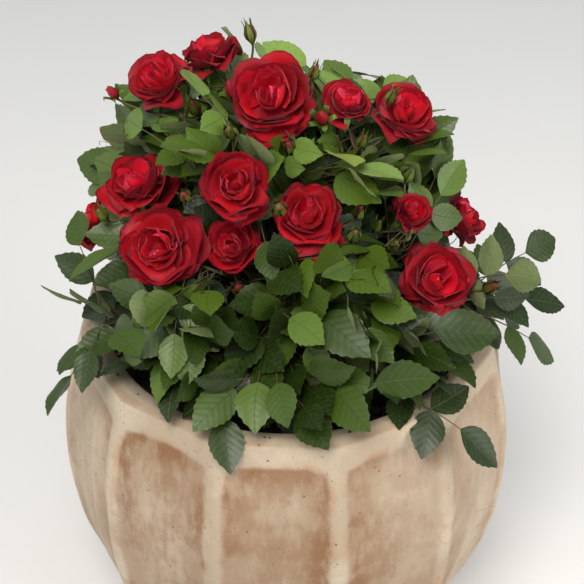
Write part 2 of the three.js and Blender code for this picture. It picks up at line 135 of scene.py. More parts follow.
class Finish:
    """A material in the making, with the nodes that paint it."""

    def __init__(self, name, fixed):
        self.material = bpy.data.materials.new(name)
        self.material.use_nodes = True
        self.nodes = self.material.node_tree.nodes
        self.shader = self.nodes["Principled BSDF"]
        for socket, value in fixed.items():
            self.show(socket, value)

    def add(self, kind, settings, values, out=0):
        node = self.nodes.new("ShaderNode" + kind)
        for name, value in settings.items():
            if name == "stops":
                self.lay_stops(node.color_ramp, value)
            else:
                setattr(node, name, value)
        for socket, value in values.items():
            self.join(value, node.inputs[socket])
        return Reading(self, node.outputs[out])

    def lay_stops(self, ramp, stops):
        """Lays plain colours on a ramp, each from its place up to the next."""
        ramp.interpolation = "CONSTANT"
        while len(ramp.elements) < len(stops):
            ramp.elements.new(1)
        for element, (place, colour) in zip(ramp.elements, stops):
            element.position = place
            element.color = (*colour, 1)

    def join(self, value, socket):
        if isinstance(value, Reading):
            self.material.node_tree.links.new(value.socket, socket)
        elif isinstance(value, tuple) and socket.type == "RGBA":
            socket.default_value = (*value, 1)
        else:
            socket.default_value = value

    def show(self, socket, value):
        self.join(value, self.shader.inputs[socket])

    def object_place(self):
        return self.add("TexCoord", {}, {}, "Object")

    def map_place(self):
        return self.add("UVMap", {"uv_map": "OFBake"}, {})

    def mark(self, name):
        return self.add("Attribute", {"attribute_name": name}, {}, "Fac")

    def parts(self, vector):
        split = self.add("SeparateXYZ", {}, {0: vector}).socket.node
        return [Reading(self, socket) for socket in split.outputs]

    def stretched(self, vector, scale, turn=(0, 0, 0)):
        return self.add("Mapping", {}, {"Vector": vector, "Rotation": turn, "Scale": scale})

    def clouds(self, vector, scale, detail=4, rough=0.55):
        values = {"Vector": vector, "Scale": scale, "Detail": detail, "Roughness": rough}
        return self.add("TexNoise", {}, values, "Fac")

    def cells(self, vector, scale):
        return self.add("TexVoronoi", {}, {"Vector": vector, "Scale": scale}, "Distance")

    def rise(self, value, low, high):
        values = {"Value": value, "From Min": low, "From Max": high}
        return self.add("MapRange", {"interpolation_type": "SMOOTHSTEP"}, values)

    def mix(self, share, first, second):
        return self.add("Mix", {"data_type": "RGBA"}, {0: share, 6: first, 7: second}, 2)

    def coat(self, colour, *layers):
        """Lays further colours over the first, each by its share."""
        for share, layer in layers:
            colour = self.mix(share, colour, layer)
        self.show("Base Color", colour)

    def relief(self, height, strength, deep):
        values = {"Height": height, "Strength": strength, "Distance": deep}
        self.show("Normal", self.add("Bump", {}, values))


pale = Finish("pale_floor", {"Roughness": 0.75})
pale.show("Base Color", pale.mix(pale.clouds(pale.object_place(), 3), *FLOOR_GREYS))
floor_form = bmesh.new()
bmesh.ops.create_grid(floor_form, x_segments=1, y_segments=1, size=FLOOR_HALF)
floor_mesh = bpy.data.meshes.new("floor")
floor_form.to_mesh(floor_mesh)
floor_form.free()
floor_mesh.materials.append(pale.material)
floor = bpy.data.objects.new("floor", floor_mesh)
collection.objects.link(floor)

# The pot is thrown and pressed terracotta, twelve facets between soft ribs, with a smooth rim. A lime wash
# was brushed on and wiped off, so that it stays on the ribs and the rim and the clay shows in the panels.
POT_SIDES = 12
POT_STEP = TAU / POT_SIDES
POT_TURN = math.radians(12)
FACET_STEPS = 26
SHOULDER_Z = 385
SHOULDER_R = 204
BELLY_Z = 248
BELLY_R = 228
FOOT_R = 142
MOUTH_R = 173
WALL = 18
WALL_LOW = 5
WALL_HIGH = 379
WALL_STEPS = 64
FLOOR_Z = 24
RIM_FORM = [  # radius, height and how far the facets show, from the shoulder to the inside of the mouth
    (204.6, 383.2, 1), (204.2, 384.8, 1), (203.2, 386, 1), (201, 386.7, 0.95), (197, 387.3, 0.8),
    (194, 387.7, 0.65), (191, 388, 0.5), (187, 387.6, 0.35), (183, 386.6, 0.2), (179, 385.6, 0.05),
    (176, 384.4, 0), (174.2, 382.8, 0), (MOUTH_R, 380.5, 0), (MOUTH_R, 371, 0),
]
INSIDE_Z = (350, 300, BELLY_Z, 180, 110, 60, 30)
RIB = (4.5, 10.5)  # from a corner, where a rib's side begins and ends
CORNER_WEAR = (7, 1.1)  # how wide and how deep a corner is rubbed round
PANEL_DEEP = 2
PANEL_TOP = 375
PANEL_ARCH = 12
PANEL_FOOT = 12
OFF_PANEL = -20
CREAM = (0.39, 0.318, 0.232)
PALE_WASH = (0.51, 0.44, 0.342)
EARTH = (0.27, 0.162, 0.092)
TAN = (0.2, 0.095, 0.045)
RUST = (0.34, 0.15, 0.06)
DUST = (0.32, 0.2, 0.115)
LIP_CLAY = (0.4, 0.2, 0.1)
CREASE_CLAY = (0.34, 0.22, 0.13)
STAIN = (0.46, 0.31, 0.19)
SPECK = (0.1, 0.055, 0.03)


def turned(rows, steps):
    """Spins rows of [radius, height, mark] about the middle. The mark stays on every vertex of its row."""
    form = bmesh.new()
    mark = form.verts.layers.float.new("mark")
    chain = []
    for radius, height, value in rows:
        vert = form.verts.new((radius * MM, 0, height * MM))
        vert[mark] = value
        chain.append(vert)
    edges = [form.edges.new(pair) for pair in zip(chain, chain[1:])]
    bmesh.ops.spin(
        form, geom=chain + edges, cent=(0, 0, 0), axis=(0, 0, 1), angle=TAU, steps=steps, use_merge=True
    )
    bmesh.ops.remove_doubles(form, verts=form.verts, dist=1e-6)
    bmesh.ops.recalc_face_normals(form, faces=form.faces)
    return form, mark


def piece(name, form, finish, corner=None):
    """Makes a bmesh, or a mesh, a piece that stands still with the pot."""
    mesh = form
    if isinstance(form, bmesh.types.BMesh):
        mesh = bpy.data.meshes.new(name)
        form.to_mesh(mesh)
        form.free()
    mesh.shade_smooth()
    if corner:
        mesh.set_sharp_from_angle(angle=math.radians(corner))
    mesh.materials.append(finish.material)
    made = bpy.data.objects.new(name, mesh)
    collection.objects.link(made)
    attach(made, "root")
    return made


def body_r(z):
    if z > BELLY_Z:
        t = (z - BELLY_Z) / (SHOULDER_Z - BELLY_Z)
        return BELLY_R - (BELLY_R - SHOULDER_R) * t * t
    t = (BELLY_Z - z) / BELLY_Z
    return BELLY_R - (BELLY_R - FOOT_R) * (0.55 * t * t + 0.45 * t**3)


def inner_r(z):
    return body_r(z) * math.cos(POT_STEP / 2) - WALL


def smooth(value, low, high):
    t = min(max((value - low) / (high - low), 0), 1)
    return t * t * (3 - 2 * t)


wall_heights = [WALL_LOW + (WALL_HIGH - WALL_LOW) * k / WALL_STEPS for k in range(WALL_STEPS + 1)]
rows = [(0, 0, 1), (100, 0, 1), (FOOT_R - 5, 0, 1), (FOOT_R - 2, 1.2, 1)]
rows += [(body_r(z), z, 1) for z in wall_heights]
rows += RIM_FORM
rows += [(inner_r(z), z, 0) for z in INSIDE_Z]
rows += [(inner_r(FLOOR_Z) - 10, FLOOR_Z, 0), (0, FLOOR_Z, 0)]
pot_form, press = turned(rows, POT_SIDES * FACET_STEPS)
inset = pot_form.verts.layers.float.new("inset")
shoulder = pot_form.verts.layers.float.new("shoulder")
for vert in pot_form.verts:
    x, y, z = vert.co / MM
    share = vert[press]
    radius = math.hypot(x, y)
    angle = math.atan2(y, x)
    off = (angle - POT_TURN) % POT_STEP - POT_STEP / 2
    facet = math.cos(POT_STEP / 2) / math.cos(off)
    half = radius * math.sin(POT_STEP / 2)
    along = abs(radius * math.cos(POT_STEP / 2) * math.tan(off))
    from_corner = half - along
    panel_top = PANEL_TOP - PANEL_ARCH * (along / max(half, 1)) ** 4
    into_panel = min(from_corner, panel_top - z, z - PANEL_FOOT)
    outside = smooth(share, 0.7, 1) if z > 2 and radius > 120 else 0
    radius *= 1 + share * (facet - 1)
    radius -= outside * CORNER_WEAR[1] * max(0, 1 - from_corner / CORNER_WEAR[0]) ** 2
    radius -= outside * PANEL_DEEP * smooth(into_panel, *RIB)
    spot = Vector((x, y, z))
    wobble = noise.noise(spot / 55) * 0.7 + noise.noise(spot / 16) * 0.22
    radius += wobble * smooth(z, 2, 20) * (1 if share > 0.02 else 0)
    z += 0.5 * noise.noise(spot / 40) * smooth(z, 380, 386)
    vert.co = Vector((radius * math.cos(angle), radius * math.sin(angle), z)) * MM
    vert[inset] = into_panel if share > 0.9 and z > 2 else OFF_PANEL
    vert[shoulder] = 1 if z > 384.4 and 0.6 < share < 0.97 else 0

clay = Finish("limewashed_clay", {"Specular IOR Level": 0.3})
place = clay.object_place()
across = clay.parts(place)[0]
cloud = clay.clouds(place, 9, 5)
streaks = clay.clouds(clay.stretched(place, (30, 30, 11)), 1.1, 5, 0.6)
patches = clay.clouds(place, 24, 6, 0.6)
brushed = clay.clouds(clay.stretched(place, (110, 110, 45)), 1.2, 5, 0.7)
dust = clay.clouds(place, 520, 2, 0.7)
stained = clay.rise(clay.clouds(place, 17, 6, 0.68), 0.56, 0.72)
scratch_lines = clay.clouds(clay.stretched(place, (5, 5, 14), (0.2, 0.9, 0)), 1.6, 1)
scratches = (1 - clay.rise(abs(scratch_lines - 0.47), 0.0015, 0.004)) * clay.rise(cloud, 0.5, 0.6)
specks = (1 - clay.rise(clay.cells(place, 230), 0.1, 0.2)) * clay.rise(clay.clouds(place, 26, 3), 0.53, 0.62)
coarse = 1 - clay.rise(clay.cells(place, 75), 0.05, 0.11)
coarse = coarse * clay.rise(clay.clouds(place, 12, 2), 0.5, 0.56)
inset_deep = clay.mark("inset")
wavering = inset_deep + (patches - 0.5) * 12
bare = clay.rise(wavering, 5, 12)
border = 1 - clay.rise(inset_deep + (streaks - 0.5) * 50, 16, 42)
worn = clay.rise(streaks * 0.45 + patches * 0.3 + brushed * 0.25, 0.42, 0.58)
# The rubbing varies at random and is weaker towards the left and right sides, so those sides are painted
# paler: painted light on the pot's sides.
rubbing_and_side_light = clay.clouds(place, 2.6, 2) + 0.14
rubbing_and_side_light = rubbing_and_side_light - clay.rise(across, 0.06, 0.15) * 0.4 - clay.rise(across * -1, 0.14, 0.2) * 0.3
rubbed = bare * (0.3 + border * 0.3 + worn * 0.5) * (0.5 + clay.rise(rubbing_and_side_light, 0.4, 0.6) * 0.5)
# The wash is paler at random, and paler on the left and right sides as painted light.
paler = clay.rise(cloud, 0.42, 0.62) + clay.rise(abs(across), 0.15, 0.2) * 0.6
lip = clay.rise(wavering, 2, 5) - clay.rise(wavering, 6, 11)
clay.coat(
    clay.mix(paler, CREAM, PALE_WASH),
    (rubbed, clay.mix(border * 0.4 + worn * 0.6, EARTH, TAN)),
    (dust * 0.3 + clay.rise(brushed, 0.5, 0.75) * 0.2, DUST),
    (lip * clay.rise(patches, 0.45, 0.6) * 0.4, LIP_CLAY),
    (stained * 0.25, STAIN),
    (clay.mark("shoulder") * clay.rise(patches, 0.36, 0.6) * 0.6, CREASE_CLAY),
    (specks * 0.55, SPECK),
    (coarse * 0.7, SPECK),
    (scratches * 0.5, RUST),
)
clay.show("Roughness", 0.94 - clay.rise(cloud, 0.4, 0.7) * 0.12)
grain = dust * 0.35 + patches * 0.6 + brushed * 0.4 + cloud * 0.3
clay.relief(grain - specks * 0.7 - coarse * 1.2 - scratches * 0.4, 0.5, 0.0011)
pot = piece("pot_faceted", pot_form, clay, 50)
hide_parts("pot")

# The soil is dark peaty compost, raked loose. It fills the pot to two fingers under the rim, and loose
# crumbs lie on it and on the rim.
SOIL_Z = 350
SOIL_CROWN = 6
SOIL_RINGS = 44
SOIL_APART = 1
SOIL_STEPS = 150
GAP = 0.3
PEAT = ((0.012, 0.009, 0.007), (0.07, 0.045, 0.03))
CRUMBS = 900
CRUMB_REACH = 150
CRUMB_Z = 355
RIM_CRUMB = 38  # of so many crumbs, one lies on the rim
RIM_CREST = (186, 388)  # the radius and the height at which it lies there
CRUMB_DARK = (0.01, 0.007, 0.005)
CRUMB_BROWNS = [
    (0.018 + 0.006 * (k % 5), 0.012 + 0.0042 * (k % 5), 0.009 + 0.003 * (k % 4)) for k in range(14)
]
CRUMB_BROWNS += [(0.12, 0.075, 0.045), (0.17, 0.12, 0.075)]
SPAN = 2**32


class Draw:
    """Even numbers from 0 to 1, the same each time for the same seed."""

    def __init__(self, seed):
        self.state = seed * 2654435761 % SPAN

    def between(self, low, high):
        self.state = (self.state * 1664525 + 1013904223) % SPAN
        return low + (high - low) * self.state / SPAN


class Heap:
    """Like pieces by the hundred, gathered as arrays and joined into one mesh with a shared map."""

    def __init__(self):
        self.points, self.faces, self.maps, self.count = [], [], [], 0

    def add(self, points, faces, spots):
        self.faces += [tuple(corner + self.count for corner in face) for face in faces]
        self.points.append(points)
        self.maps.append(spots)
        self.count += len(points)

    def mesh(self, name):
        mesh = bpy.data.meshes.new(name)
        mesh.from_pydata(np.concatenate(self.points) * MM, [], self.faces)
        corners = np.empty(len(mesh.loops), np.int32)
        mesh.loops.foreach_get("vertex_index", corners)
        spots = np.concatenate(self.maps)[corners].ravel()
        mesh.uv_layers.new(name="OFBake").data.foreach_set("uv", spots)
        mesh.update()
        return mesh


TILES = 4  # a shared map is four tiles by four, each with its own plain colour
TILE_EDGE = 0.03
TILE_INNER = 0.94


def on_tile(number, across, up):
    """Where a point of a small piece falls on the shared map, for the tile of its colour."""
    across = number % TILES + TILE_EDGE + TILE_INNER * across
    up = number // TILES + TILE_EDGE + TILE_INNER * up
    return np.stack([across / TILES, up / TILES], 1)


class Tile:
    """The tile that a point is on, as a share of them all, and its place on that tile."""

    def __init__(self, finish):
        self.finish = finish
        self.spot = finish.map_place()
        u, v, _ = finish.parts(self.spot)
        u, v = u * TILES, v * TILES
        column, row = u.of("FLOOR"), v.of("FLOOR")
        self.share = (column + row * TILES + 0.5) / TILES**2
        self.across = (u - column - TILE_EDGE) / TILE_INNER
        self.up = (v - row - TILE_EDGE) / TILE_INNER

    def paints(self, colours):
        stops = [(k / len(colours), colour) for k, colour in enumerate(colours)]
        return self.finish.add("ValToRGB", {"stops": stops}, {0: self.share})


def shape_of(form):
    """The points and faces of a small form, which is then let go."""
    points = np.array([vert.co for vert in form.verts])
    faces = [[vert.index for vert in face.verts] for face in form.faces]
    form.free()
    return points, faces


def soil_r(z):
    return inner_r(z) - SOIL_APART


rows = [(0, FLOOR_Z + GAP, 0), (inner_r(FLOOR_Z) - 11, FLOOR_Z + GAP, 0)]
rows += [(soil_r(110), 110, 0), (soil_r(BELLY_Z), BELLY_Z, 0), (soil_r(SOIL_Z), SOIL_Z - 4, 0)]
for k in range(SOIL_RINGS + 1):
    inward = k / SOIL_RINGS
    rows.append((soil_r(SOIL_Z) * (1 - inward), SOIL_Z - 1 + SOIL_CROWN * k / SOIL_RINGS, 1))
soil_form, loose = turned(rows, SOIL_STEPS)
for vert in soil_form.verts:
    if vert[loose] > 0.5:
        spot = vert.co / MM
        heave = 5 * noise.noise(spot / 30) + 3 * abs(noise.noise(spot / 9)) + 1.6 * noise.noise(spot / 4)
        vert.co.z += heave * MM

peat = Finish("peaty_compost", {"Specular IOR Level": 0.25})
place = peat.object_place()
lumps = peat.clouds(place, 60, 6, 0.7)
peat.show("Base Color", peat.mix(peat.rise(lumps, 0.4, 0.75), *PEAT))
peat.show("Roughness", 0.97 - peat.rise(lumps, 0.5, 0.8) * 0.15)
peat.relief(lumps + peat.clouds(place, 300, 3) * 0.5, 0.9, 0.002)
soil = piece("compost", soil_form, peat)
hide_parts("soil")

crumb_form = bmesh.new()
bmesh.ops.create_icosphere(crumb_form, subdivisions=1, radius=1)
crumb_points, crumb_faces = shape_of(crumb_form)
crumbs = Heap()
draw = Draw(71)
for k in range(CRUMBS):
    angle = draw.between(0, TAU)
    if k % RIM_CRUMB == 0:
        reach, rest = RIM_CREST
        size = draw.between(0.7, 1.6)
    else:
        reach, rest = CRUMB_REACH * math.sqrt(draw.between(0.05, 1)), CRUMB_Z
        size = draw.between(1.3, 4.6)
    shape = np.array([draw.between(0.6, 1.3), draw.between(0.6, 1.3), draw.between(0.45, 0.9)]) * size
    jags = 1 + 0.25 * np.sin(crumb_points @ np.array([3 * size, 5, 7]) + k)[:, None]
    seat = np.array([reach * math.sin(angle), -reach * math.cos(angle), rest + 0.4 * size])
    spots = on_tile(k % TILES**2, 0.5 + 0.45 * crumb_points[:, 0], 0.5 + 0.45 * crumb_points[:, 1])
    crumbs.add(crumb_points * shape * jags + seat, crumb_faces, spots)

crumbly = Finish("compost_crumbs", {"Specular IOR Level": 0.25, "Roughness": 0.95})
tile = Tile(crumbly)
crumbly.coat(tile.paints(CRUMB_BROWNS), (crumbly.clouds(tile.spot, 60, 3) * 0.5, CRUMB_DARK))
piece("crumbs", crumbs.mesh("crumbs"), crumbly)

# The stem is the old woody stock of the rose, which all its canes leave. It is knobbed and furrowed, and
# it stands in the middle of the compost.
STEM_TALL = 42
STEM_FORM = [(24, 0), (17, 0.3), (17, 0.6), (23, 0.82), (20, 1)]
STEM_FOOT_Z = SOIL_Z + SOIL_CROWN + GAP
STEM_TOP_Z = STEM_FOOT_Z + STEM_TALL
STEM_SUNK = 2
STEM_STEPS = 48
WOOD = ((0.045, 0.03, 0.02), (0.17, 0.12, 0.08))
MOSS = (0.1, 0.13, 0.045)

heights = np.linspace(0, 1, 29)
widths = np.interp(heights, [share for _, share in STEM_FORM], [radius for radius, _ in STEM_FORM])
widths = np.convolve(np.pad(widths, 2, "edge"), np.ones(5) / 5, "valid")
rows = [(0, STEM_FOOT_Z - STEM_SUNK, 0)]
rows += [(r, STEM_FOOT_Z + STEM_TALL * h - (STEM_SUNK if h == 0 else 0), 1) for r, h in zip(widths, heights)]
rows += [(14, STEM_TOP_Z + 0.6, 1), (7, STEM_TOP_Z + 1, 1), (0, STEM_TOP_Z + 1.2, 0)]
stem_form, woody = turned(rows, STEM_STEPS)
for vert in stem_form.verts:
    if vert[woody] > 0.5:
        x, y, z = vert.co / MM
        furrow = noise.noise(Vector((x / 4, y / 4, z / 26))) * 1.5 + noise.noise(Vector((x, y, z)) / 12) * 1.8
        vert.co += Vector((x, y, 0)).normalized() * furrow * MM

bark = Finish("old_rose_bark", {"Specular IOR Level": 0.3})
place = bark.object_place()
furrows = bark.clouds(bark.stretched(place, (260, 260, 36)), 1, 5, 0.65)
moss = bark.rise(bark.clouds(place, 50, 3), 0.52, 0.66)
bark.coat(bark.mix(bark.rise(furrows, 0.35, 0.65), *WOOD), (moss * 0.55, MOSS))
bark.show("Roughness", 0.9 - furrows * 0.2)
bark.relief(furrows, 0.8, 0.0015)
stem = piece("stock", stem_form, bark)
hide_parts("stem")

# The canes rise out of the stock in three rings, one to each mass of foliage. They are green wood under
# thin bark, ribbed lengthwise, and each arches over into the twig of its mass.
RINGS = [  # how far out and how deep a cane's root is, where its twig begins, and the twig tips by angle
    (13, 19, 0.5, 26, [
        (0, 84, 40), (42, 120, 34), (84, 176, 42), (132, 138, 36),
        (180, 126, 38), (228, 138, 36), (288, 174, 26), (326, 116, 38),
    ]),
    (14.5, 5, 0.5, 48, [
        (20, 66, 96), (70, 115, 112), (120, 105, 110), (170, 105, 104),
        (222, 105, 108), (272, 128, 128), (322, 95, 100),
    ]),
    (6.4, 5, 0.55, 58, [(35, 20, 174), (112, 66, 160), (198, 60, 165), (290, 66, 182)]),
]
TWIG_ARCH = 9
CANE_R = (4.2, 2.6)
CROWN_MIDDLE = Vector((0, 0, SHOULDER_Z + 10))
CANE_GREENS = ((0.1, 0.15, 0.04), (0.13, 0.09, 0.045))
CANE_LINES = (0.25, 0.24, 0.13)


class Bend:
    """A Bezier curve through three or four points."""

    def __init__(self, *points):
        self.points = points

    def point(self, t):
        points = list(self.points)
        while len(points) > 1:
            points = [a.lerp(b, t) for a, b in zip(points, points[1:])]
        return points[0]

    def tangent(self, t):
        t = min(max(t, 0.0001), 0.9999)
        return (self.point(t + 0.0001) - self.point(t - 0.0001)).normalized()

    def cubic(self):
        if len(self.points) == 4:
            return self.points
        first, middle, last = self.points
        return first, first.lerp(middle, 2 / 3), last.lerp(middle, 2 / 3), last


class Limbs:
    """Round tapering limbs along bends, swept together as one curve and made a mesh."""

    def __init__(self, sides, steps):
        self.curve = bpy.data.curves.new("limbs", "CURVE")
        self.curve.dimensions = "3D"
        self.curve.bevel_depth = MM
        self.curve.bevel_resolution = (sides - 4) // 2
        self.curve.use_fill_caps = True
        self.steps = steps

    def add(self, bend, foot_r, tip_r, steps=None):
        spline = self.curve.splines.new("BEZIER")
        spline.bezier_points.add(1)
        spline.resolution_u = steps or self.steps
        foot, leave, arrive, tip = bend.cubic()
        for end, place, hand, radius in ((0, foot, leave, foot_r), (1, tip, arrive, tip_r)):
            point = spline.bezier_points[end]
            point.handle_left_type = point.handle_right_type = "FREE"
            point.co = place * MM
            point.handle_left = (place if end == 0 else hand) * MM
            point.handle_right = (hand if end == 0 else place) * MM
            point.radius = radius

    def mesh(self, name):
        holder = bpy.data.objects.new(name, self.curve)
        collection.objects.link(holder)
        bpy.context.view_layer.update()
        shown = holder.evaluated_get(bpy.context.evaluated_depsgraph_get())
        mesh = bpy.data.meshes.new_from_object(shown)
        bpy.data.objects.remove(holder)
        mesh.name = name
        mesh.uv_layers[0].name = "OFBake"
        return mesh


def around(angle, radius, height):
    a = math.radians(angle)
    return Vector((radius * math.sin(a), -radius * math.cos(a), SHOULDER_Z + height))


masses = []
for ring, (root_r, root_drop, entry_share, entry_drop, tips) in enumerate(RINGS):
    for angle, reach, height in tips:
        tip = around(angle, reach, height)
        entry = around(angle, reach * entry_share, height - entry_drop)
        masses.append({
            "number": len(masses) + 1,
            "ring": ring,
            "root": around(angle, root_r, STEM_TOP_Z - root_drop - SHOULDER_Z),
            "twig": Bend(entry, entry.lerp(tip, 0.5) + UP * TWIG_ARCH, tip),
            "middle": entry.lerp(tip, 0.72),
        })

canes = Limbs(12, 30)

for mass in masses:
    root, entry = mass["root"], mass["twig"].point(0)
    arriving = mass["twig"].tangent(0)
    long = (entry - root).length
    leave = root.lerp(entry, 0.3) + UP * 0.12 * long
    mass["cane"] = Bend(root, leave, entry - arriving * 0.3 * long, entry)
    canes.add(mass["cane"], *CANE_R)

cane_mesh = canes.mesh("canes")
cane_form = bmesh.new()
cane_form.from_mesh(cane_mesh)
for vert in cane_form.verts:
    x, y, z = vert.co / MM
    ribs = noise.noise(Vector((x / 1.7, y / 1.7, z / 14))) * 0.4 + noise.noise(Vector((x, y, z)) / 7) * 0.35
    vert.co += vert.normal * ribs * MM

green_bark = Finish("green_bark", {"Specular IOR Level": 0.4})
place = green_bark.object_place()
mottle = green_bark.clouds(place, 45, 4)
lines = green_bark.clouds(green_bark.stretched(place, (500, 500, 50)), 1, 4, 0.6)
green_bark.coat(
    green_bark.mix(green_bark.rise(mottle, 0.4, 0.62), *CANE_GREENS),
    (green_bark.rise(lines, 0.55, 0.75) * 0.5, CANE_LINES),
)
green_bark.show("Roughness", 0.6 + mottle * 0.2)
green_bark.relief(lines, 0.6, 0.0006)
cane_piece = piece("canes", cane_form, green_bark)
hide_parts(*[f"cane_{k:02d}" for k in range(1, 20)])

# Each mass of foliage is a main twig with side twigs, and those carry finer shoots with compound leaves.
# The rachis of a leaf is green and thin, with three or five leaflets. The main leaves of a mass grow by
# the rule and the seed of its plain solid, so that they stand where it has them.
TWIG_R = (2.2, 1.3)
SIDE_TWIG_R = (1.5, 0.9)
RACHIS_R = (0.85, 0.45)
MAIN_SPOTS = (0.3, 0.55, 0.8, 1)  # where a main twig bears its leaves
SIDE_SPOTS = (0.5, 1)
SPIRAL = math.radians(137.5)
TURNS = [0, 0.7, -0.7, 1.4, -1.4, 2.2, -2.2, 3]
LEAF_STALK = 20
LEAFLET_STEP = 28
LEAFLET_LONG = 50
LEAFLET_WIDE = 34
BLOOM_LEAN_FRONT = 40
LIGHT = Vector((0, -0.8, 0.6))
YOUNG_BARK = ((0.06, 0.1, 0.025), (0.1, 0.045, 0.028))
YOUNG_STREAK = (0.03, 0.045, 0.015)
BLOOMS = [  # the mass it stands on, its place from the rim's middle, its width, how far it is open, its buds
    (19, -119, 53, 230, 60, 1, [200, 320]), (18, -74, 87, 240, 56, 0.6, [20, 235]),
    (16, -16, 13, 235, 74, 1, [335, 290]), (17, 54, 25, 220, 42, 0.35, [140, 165]),
    (17, 110, 36, 205, 58, 1, []), (14, -139, 2, 150, 61, 0.6, [225, 5]),
    (19, -46, -60, 187, 62, 0.8, [330, 195]), (9, 18, -52, 150, 64, 1, [270, 3]),
    (10, 114, -21, 130, 42, 0.35, [200, 240]), (15, -50, -64, 124, 52, 0.8, [280]),
    (15, -115, -73, 130, 76, 1, []), (3, 140, -47, 75, 70, 1, [350]), (12, 20, 128, 130, 62, 0.8, [40]),
    (4, 108, 120, 118, 66, 1, [130]), (13, -62, 158, 112, 70, 1, [60]), (6, -142, 112, 108, 62, 0.8, [150]),
    (3, 172, 52, 78, 56, 0.6, []), (5, 48, 186, 62, 60, 1, [90]), (6, -190, 58, 70, 58, 1, []),
]
FRONT_TURNS = [  # how far each front bloom turns to the front, and how far up
    (0.9, 0.35), (0.15, 0.9), (0.9, 0.3), (0.3, 0.9), (0.7, 0.45), (0.35, 0.7),
    (0.8, 0.15), (0.5, 0.8), (0.3, 0.6), (0.6, 0.5), (1.2, 0), (0.8, 0.2),
]
FACE_ROOM = 0.7  # of a bloom's radius, kept free of leaves before its face
VIEW_ROOM = 0.95  # and towards the front
BUD_AWAY = 14
BUD_FORWARD = 8
FULLER = {3: 1.22, 4: 1.1}  # half-open blooms with wider petals
LATE_BUDS = {1: [300], 3: [290, 5], 6: [95], 7: [335], 8: [95]}
SHOWN_UP = Vector((0, 0.61, 0.79))

blooms = []
for row, (source, x, y, z, wide, opened, buds) in enumerate(BLOOMS):
    centre = Vector((x, y, SHOULDER_Z + z))
    view = (EYE - centre).normalized()
    faces = Vector((x, y - BLOOM_LEAN_FRONT, 0)).normalized()
    faces.z = 0.55 + z / 300
    faces.normalize()
    in_front = row < len(FRONT_TURNS)
    to_front, to_sky = FRONT_TURNS[row] if in_front else (0, 0)
    faces = (faces + view * to_front + UP * to_sky).normalized()
    open_ways = [(faces, FACE_ROOM)] + [(view, VIEW_ROOM)] * in_front
    earlier = sum(other["mass"] == source for other in blooms)
    twig = masses[source - 1]["twig"]
    foot = twig.point(1 if earlier == 0 else 0.92 - 0.3 * earlier)
    calyx = centre - faces * 0.3 * wide
    long = (calyx - foot).length
    leave = foot + twig.tangent(1) * 0.35 * long
    blooms.append({
        "row": row, "mass": source, "centre": centre, "faces": faces, "view": view, "open_ways": open_ways,
        "radius": wide / 2 * FULLER.get(row, 1), "open": opened, "buds": buds + LATE_BUDS.get(row, []),
        "calyx": calyx, "stalk": Bend(foot, leave, calyx - faces * 0.35 * long, calyx),
    })
front_blooms = blooms[: len(FRONT_TURNS)]


def seen_way(degrees):
    """A direction square to the view from the front, by its angle from the right."""
    a = math.radians(degrees)
    return Vector((math.cos(a), 0, 0)) + SHOWN_UP * math.sin(a)


def bud_tip(bloom, degrees):
    away = bloom["radius"] + BUD_AWAY
    return bloom["centre"] + seen_way(degrees) * away + bloom["faces"] * BUD_FORWARD


def outward(point):
    return (point - CROWN_MIDDLE).normalized()


def draw_leaf(draw, small=1, wild=1):
    """Draws a compound leaf's own size, lean and droop, and how each of its five leaflets stands."""
    scale = draw.between(0.84, 1.06) * small
    lean = (draw.between(-0.35, 0.35) * wild, draw.between(-0.35, 0.35) * wild)
    droop = draw.between(0.06, 0.26)
    swing = draw.between(1, 1.2)
    leaflets = []
    for pair, side in ((0, -1), (0, 1), (1, -1), (1, 1), (2, 0)):
        leaflets.append({
            "pair": pair, "side": side, "swing": side * (swing + draw.between(-0.05, 0.05)),
            "lift": draw.between(-0.26, 0.12) * wild, "roll": draw.between(-0.3, 0.3) * wild,
            "size": scale * (0.74 + 0.13 * pair) * draw.between(0.94, 1.06),
        })
    return {"scale": scale, "lean": lean, "droop": droop, "leaflets": leaflets}


def trimmed(leaf):
    """The same leaf without its lowest pair."""
    return {**leaf, "leaflets": [one for one in leaf["leaflets"] if one["pair"] > 0]}


def off_twig(bend, t, turn, out, lift):
    """A direction off a twig, turned about it and pulled outward and along it."""
    axis = bend.tangent(t)
    right = axis.cross(UP if abs(axis.z) < 0.9 else Vector((1, 0, 0))).normalized()
    front = right.cross(axis).normalized()
    heading = right * math.cos(turn) + front * math.sin(turn)
    return (heading + outward(bend.point(t)) * out + axis * lift).normalized()


def pose_leaf(leaf, bend, t, turn, to_light=0):
    """Works out where a leaf's rachis runs and how each of its leaflets lies."""
    foot = bend.point(t)
    heading = off_twig(bend, t, turn, out=0.7, lift=0.35)
    light = outward(foot) * 0.8 + UP * 0.75 + Vector((*leaf["lean"], 0)) + LIGHT * to_light
    normal = (light - heading * light.dot(heading)).normalized()
    full_reach = LEAF_STALK + 2 * LEAFLET_STEP
    reach = full_reach * leaf["scale"]
    end = foot + heading * reach - UP * reach * leaf["droop"]
    rachis = Bend(foot, foot + heading * reach * 0.5, end)
    leaflets = []
    for one in leaf["leaflets"]:
        t_root = (LEAF_STALK + LEAFLET_STEP * one["pair"]) / full_reach
        ring_t = t_root if one["side"] == 0 else t_root - 1.5 / reach
        tangent = rachis.tangent(ring_t)
        across = normal.cross(tangent).normalized()
        face = tangent.cross(across)
        along = tangent * math.cos(one["swing"]) + across * math.sin(one["swing"]) + face * one["lift"]
        along.normalize()
        across = (face + across * one["roll"]).cross(along).normalized()
        leaflets.append({
            "root": rachis.point(t_root), "at": t_root, "along": along, "across": across,
            "face": along.cross(across), "size": one["size"],
        })
    return {"rachis": rachis, "leaflets": leaflets}


def packed_points(node):
    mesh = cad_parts[node].data
    tree = KDTree(len(mesh.vertices))
    for k, vert in enumerate(mesh.vertices):
        tree.insert(vert.co / MM, k)
    tree.balance()
    return tree


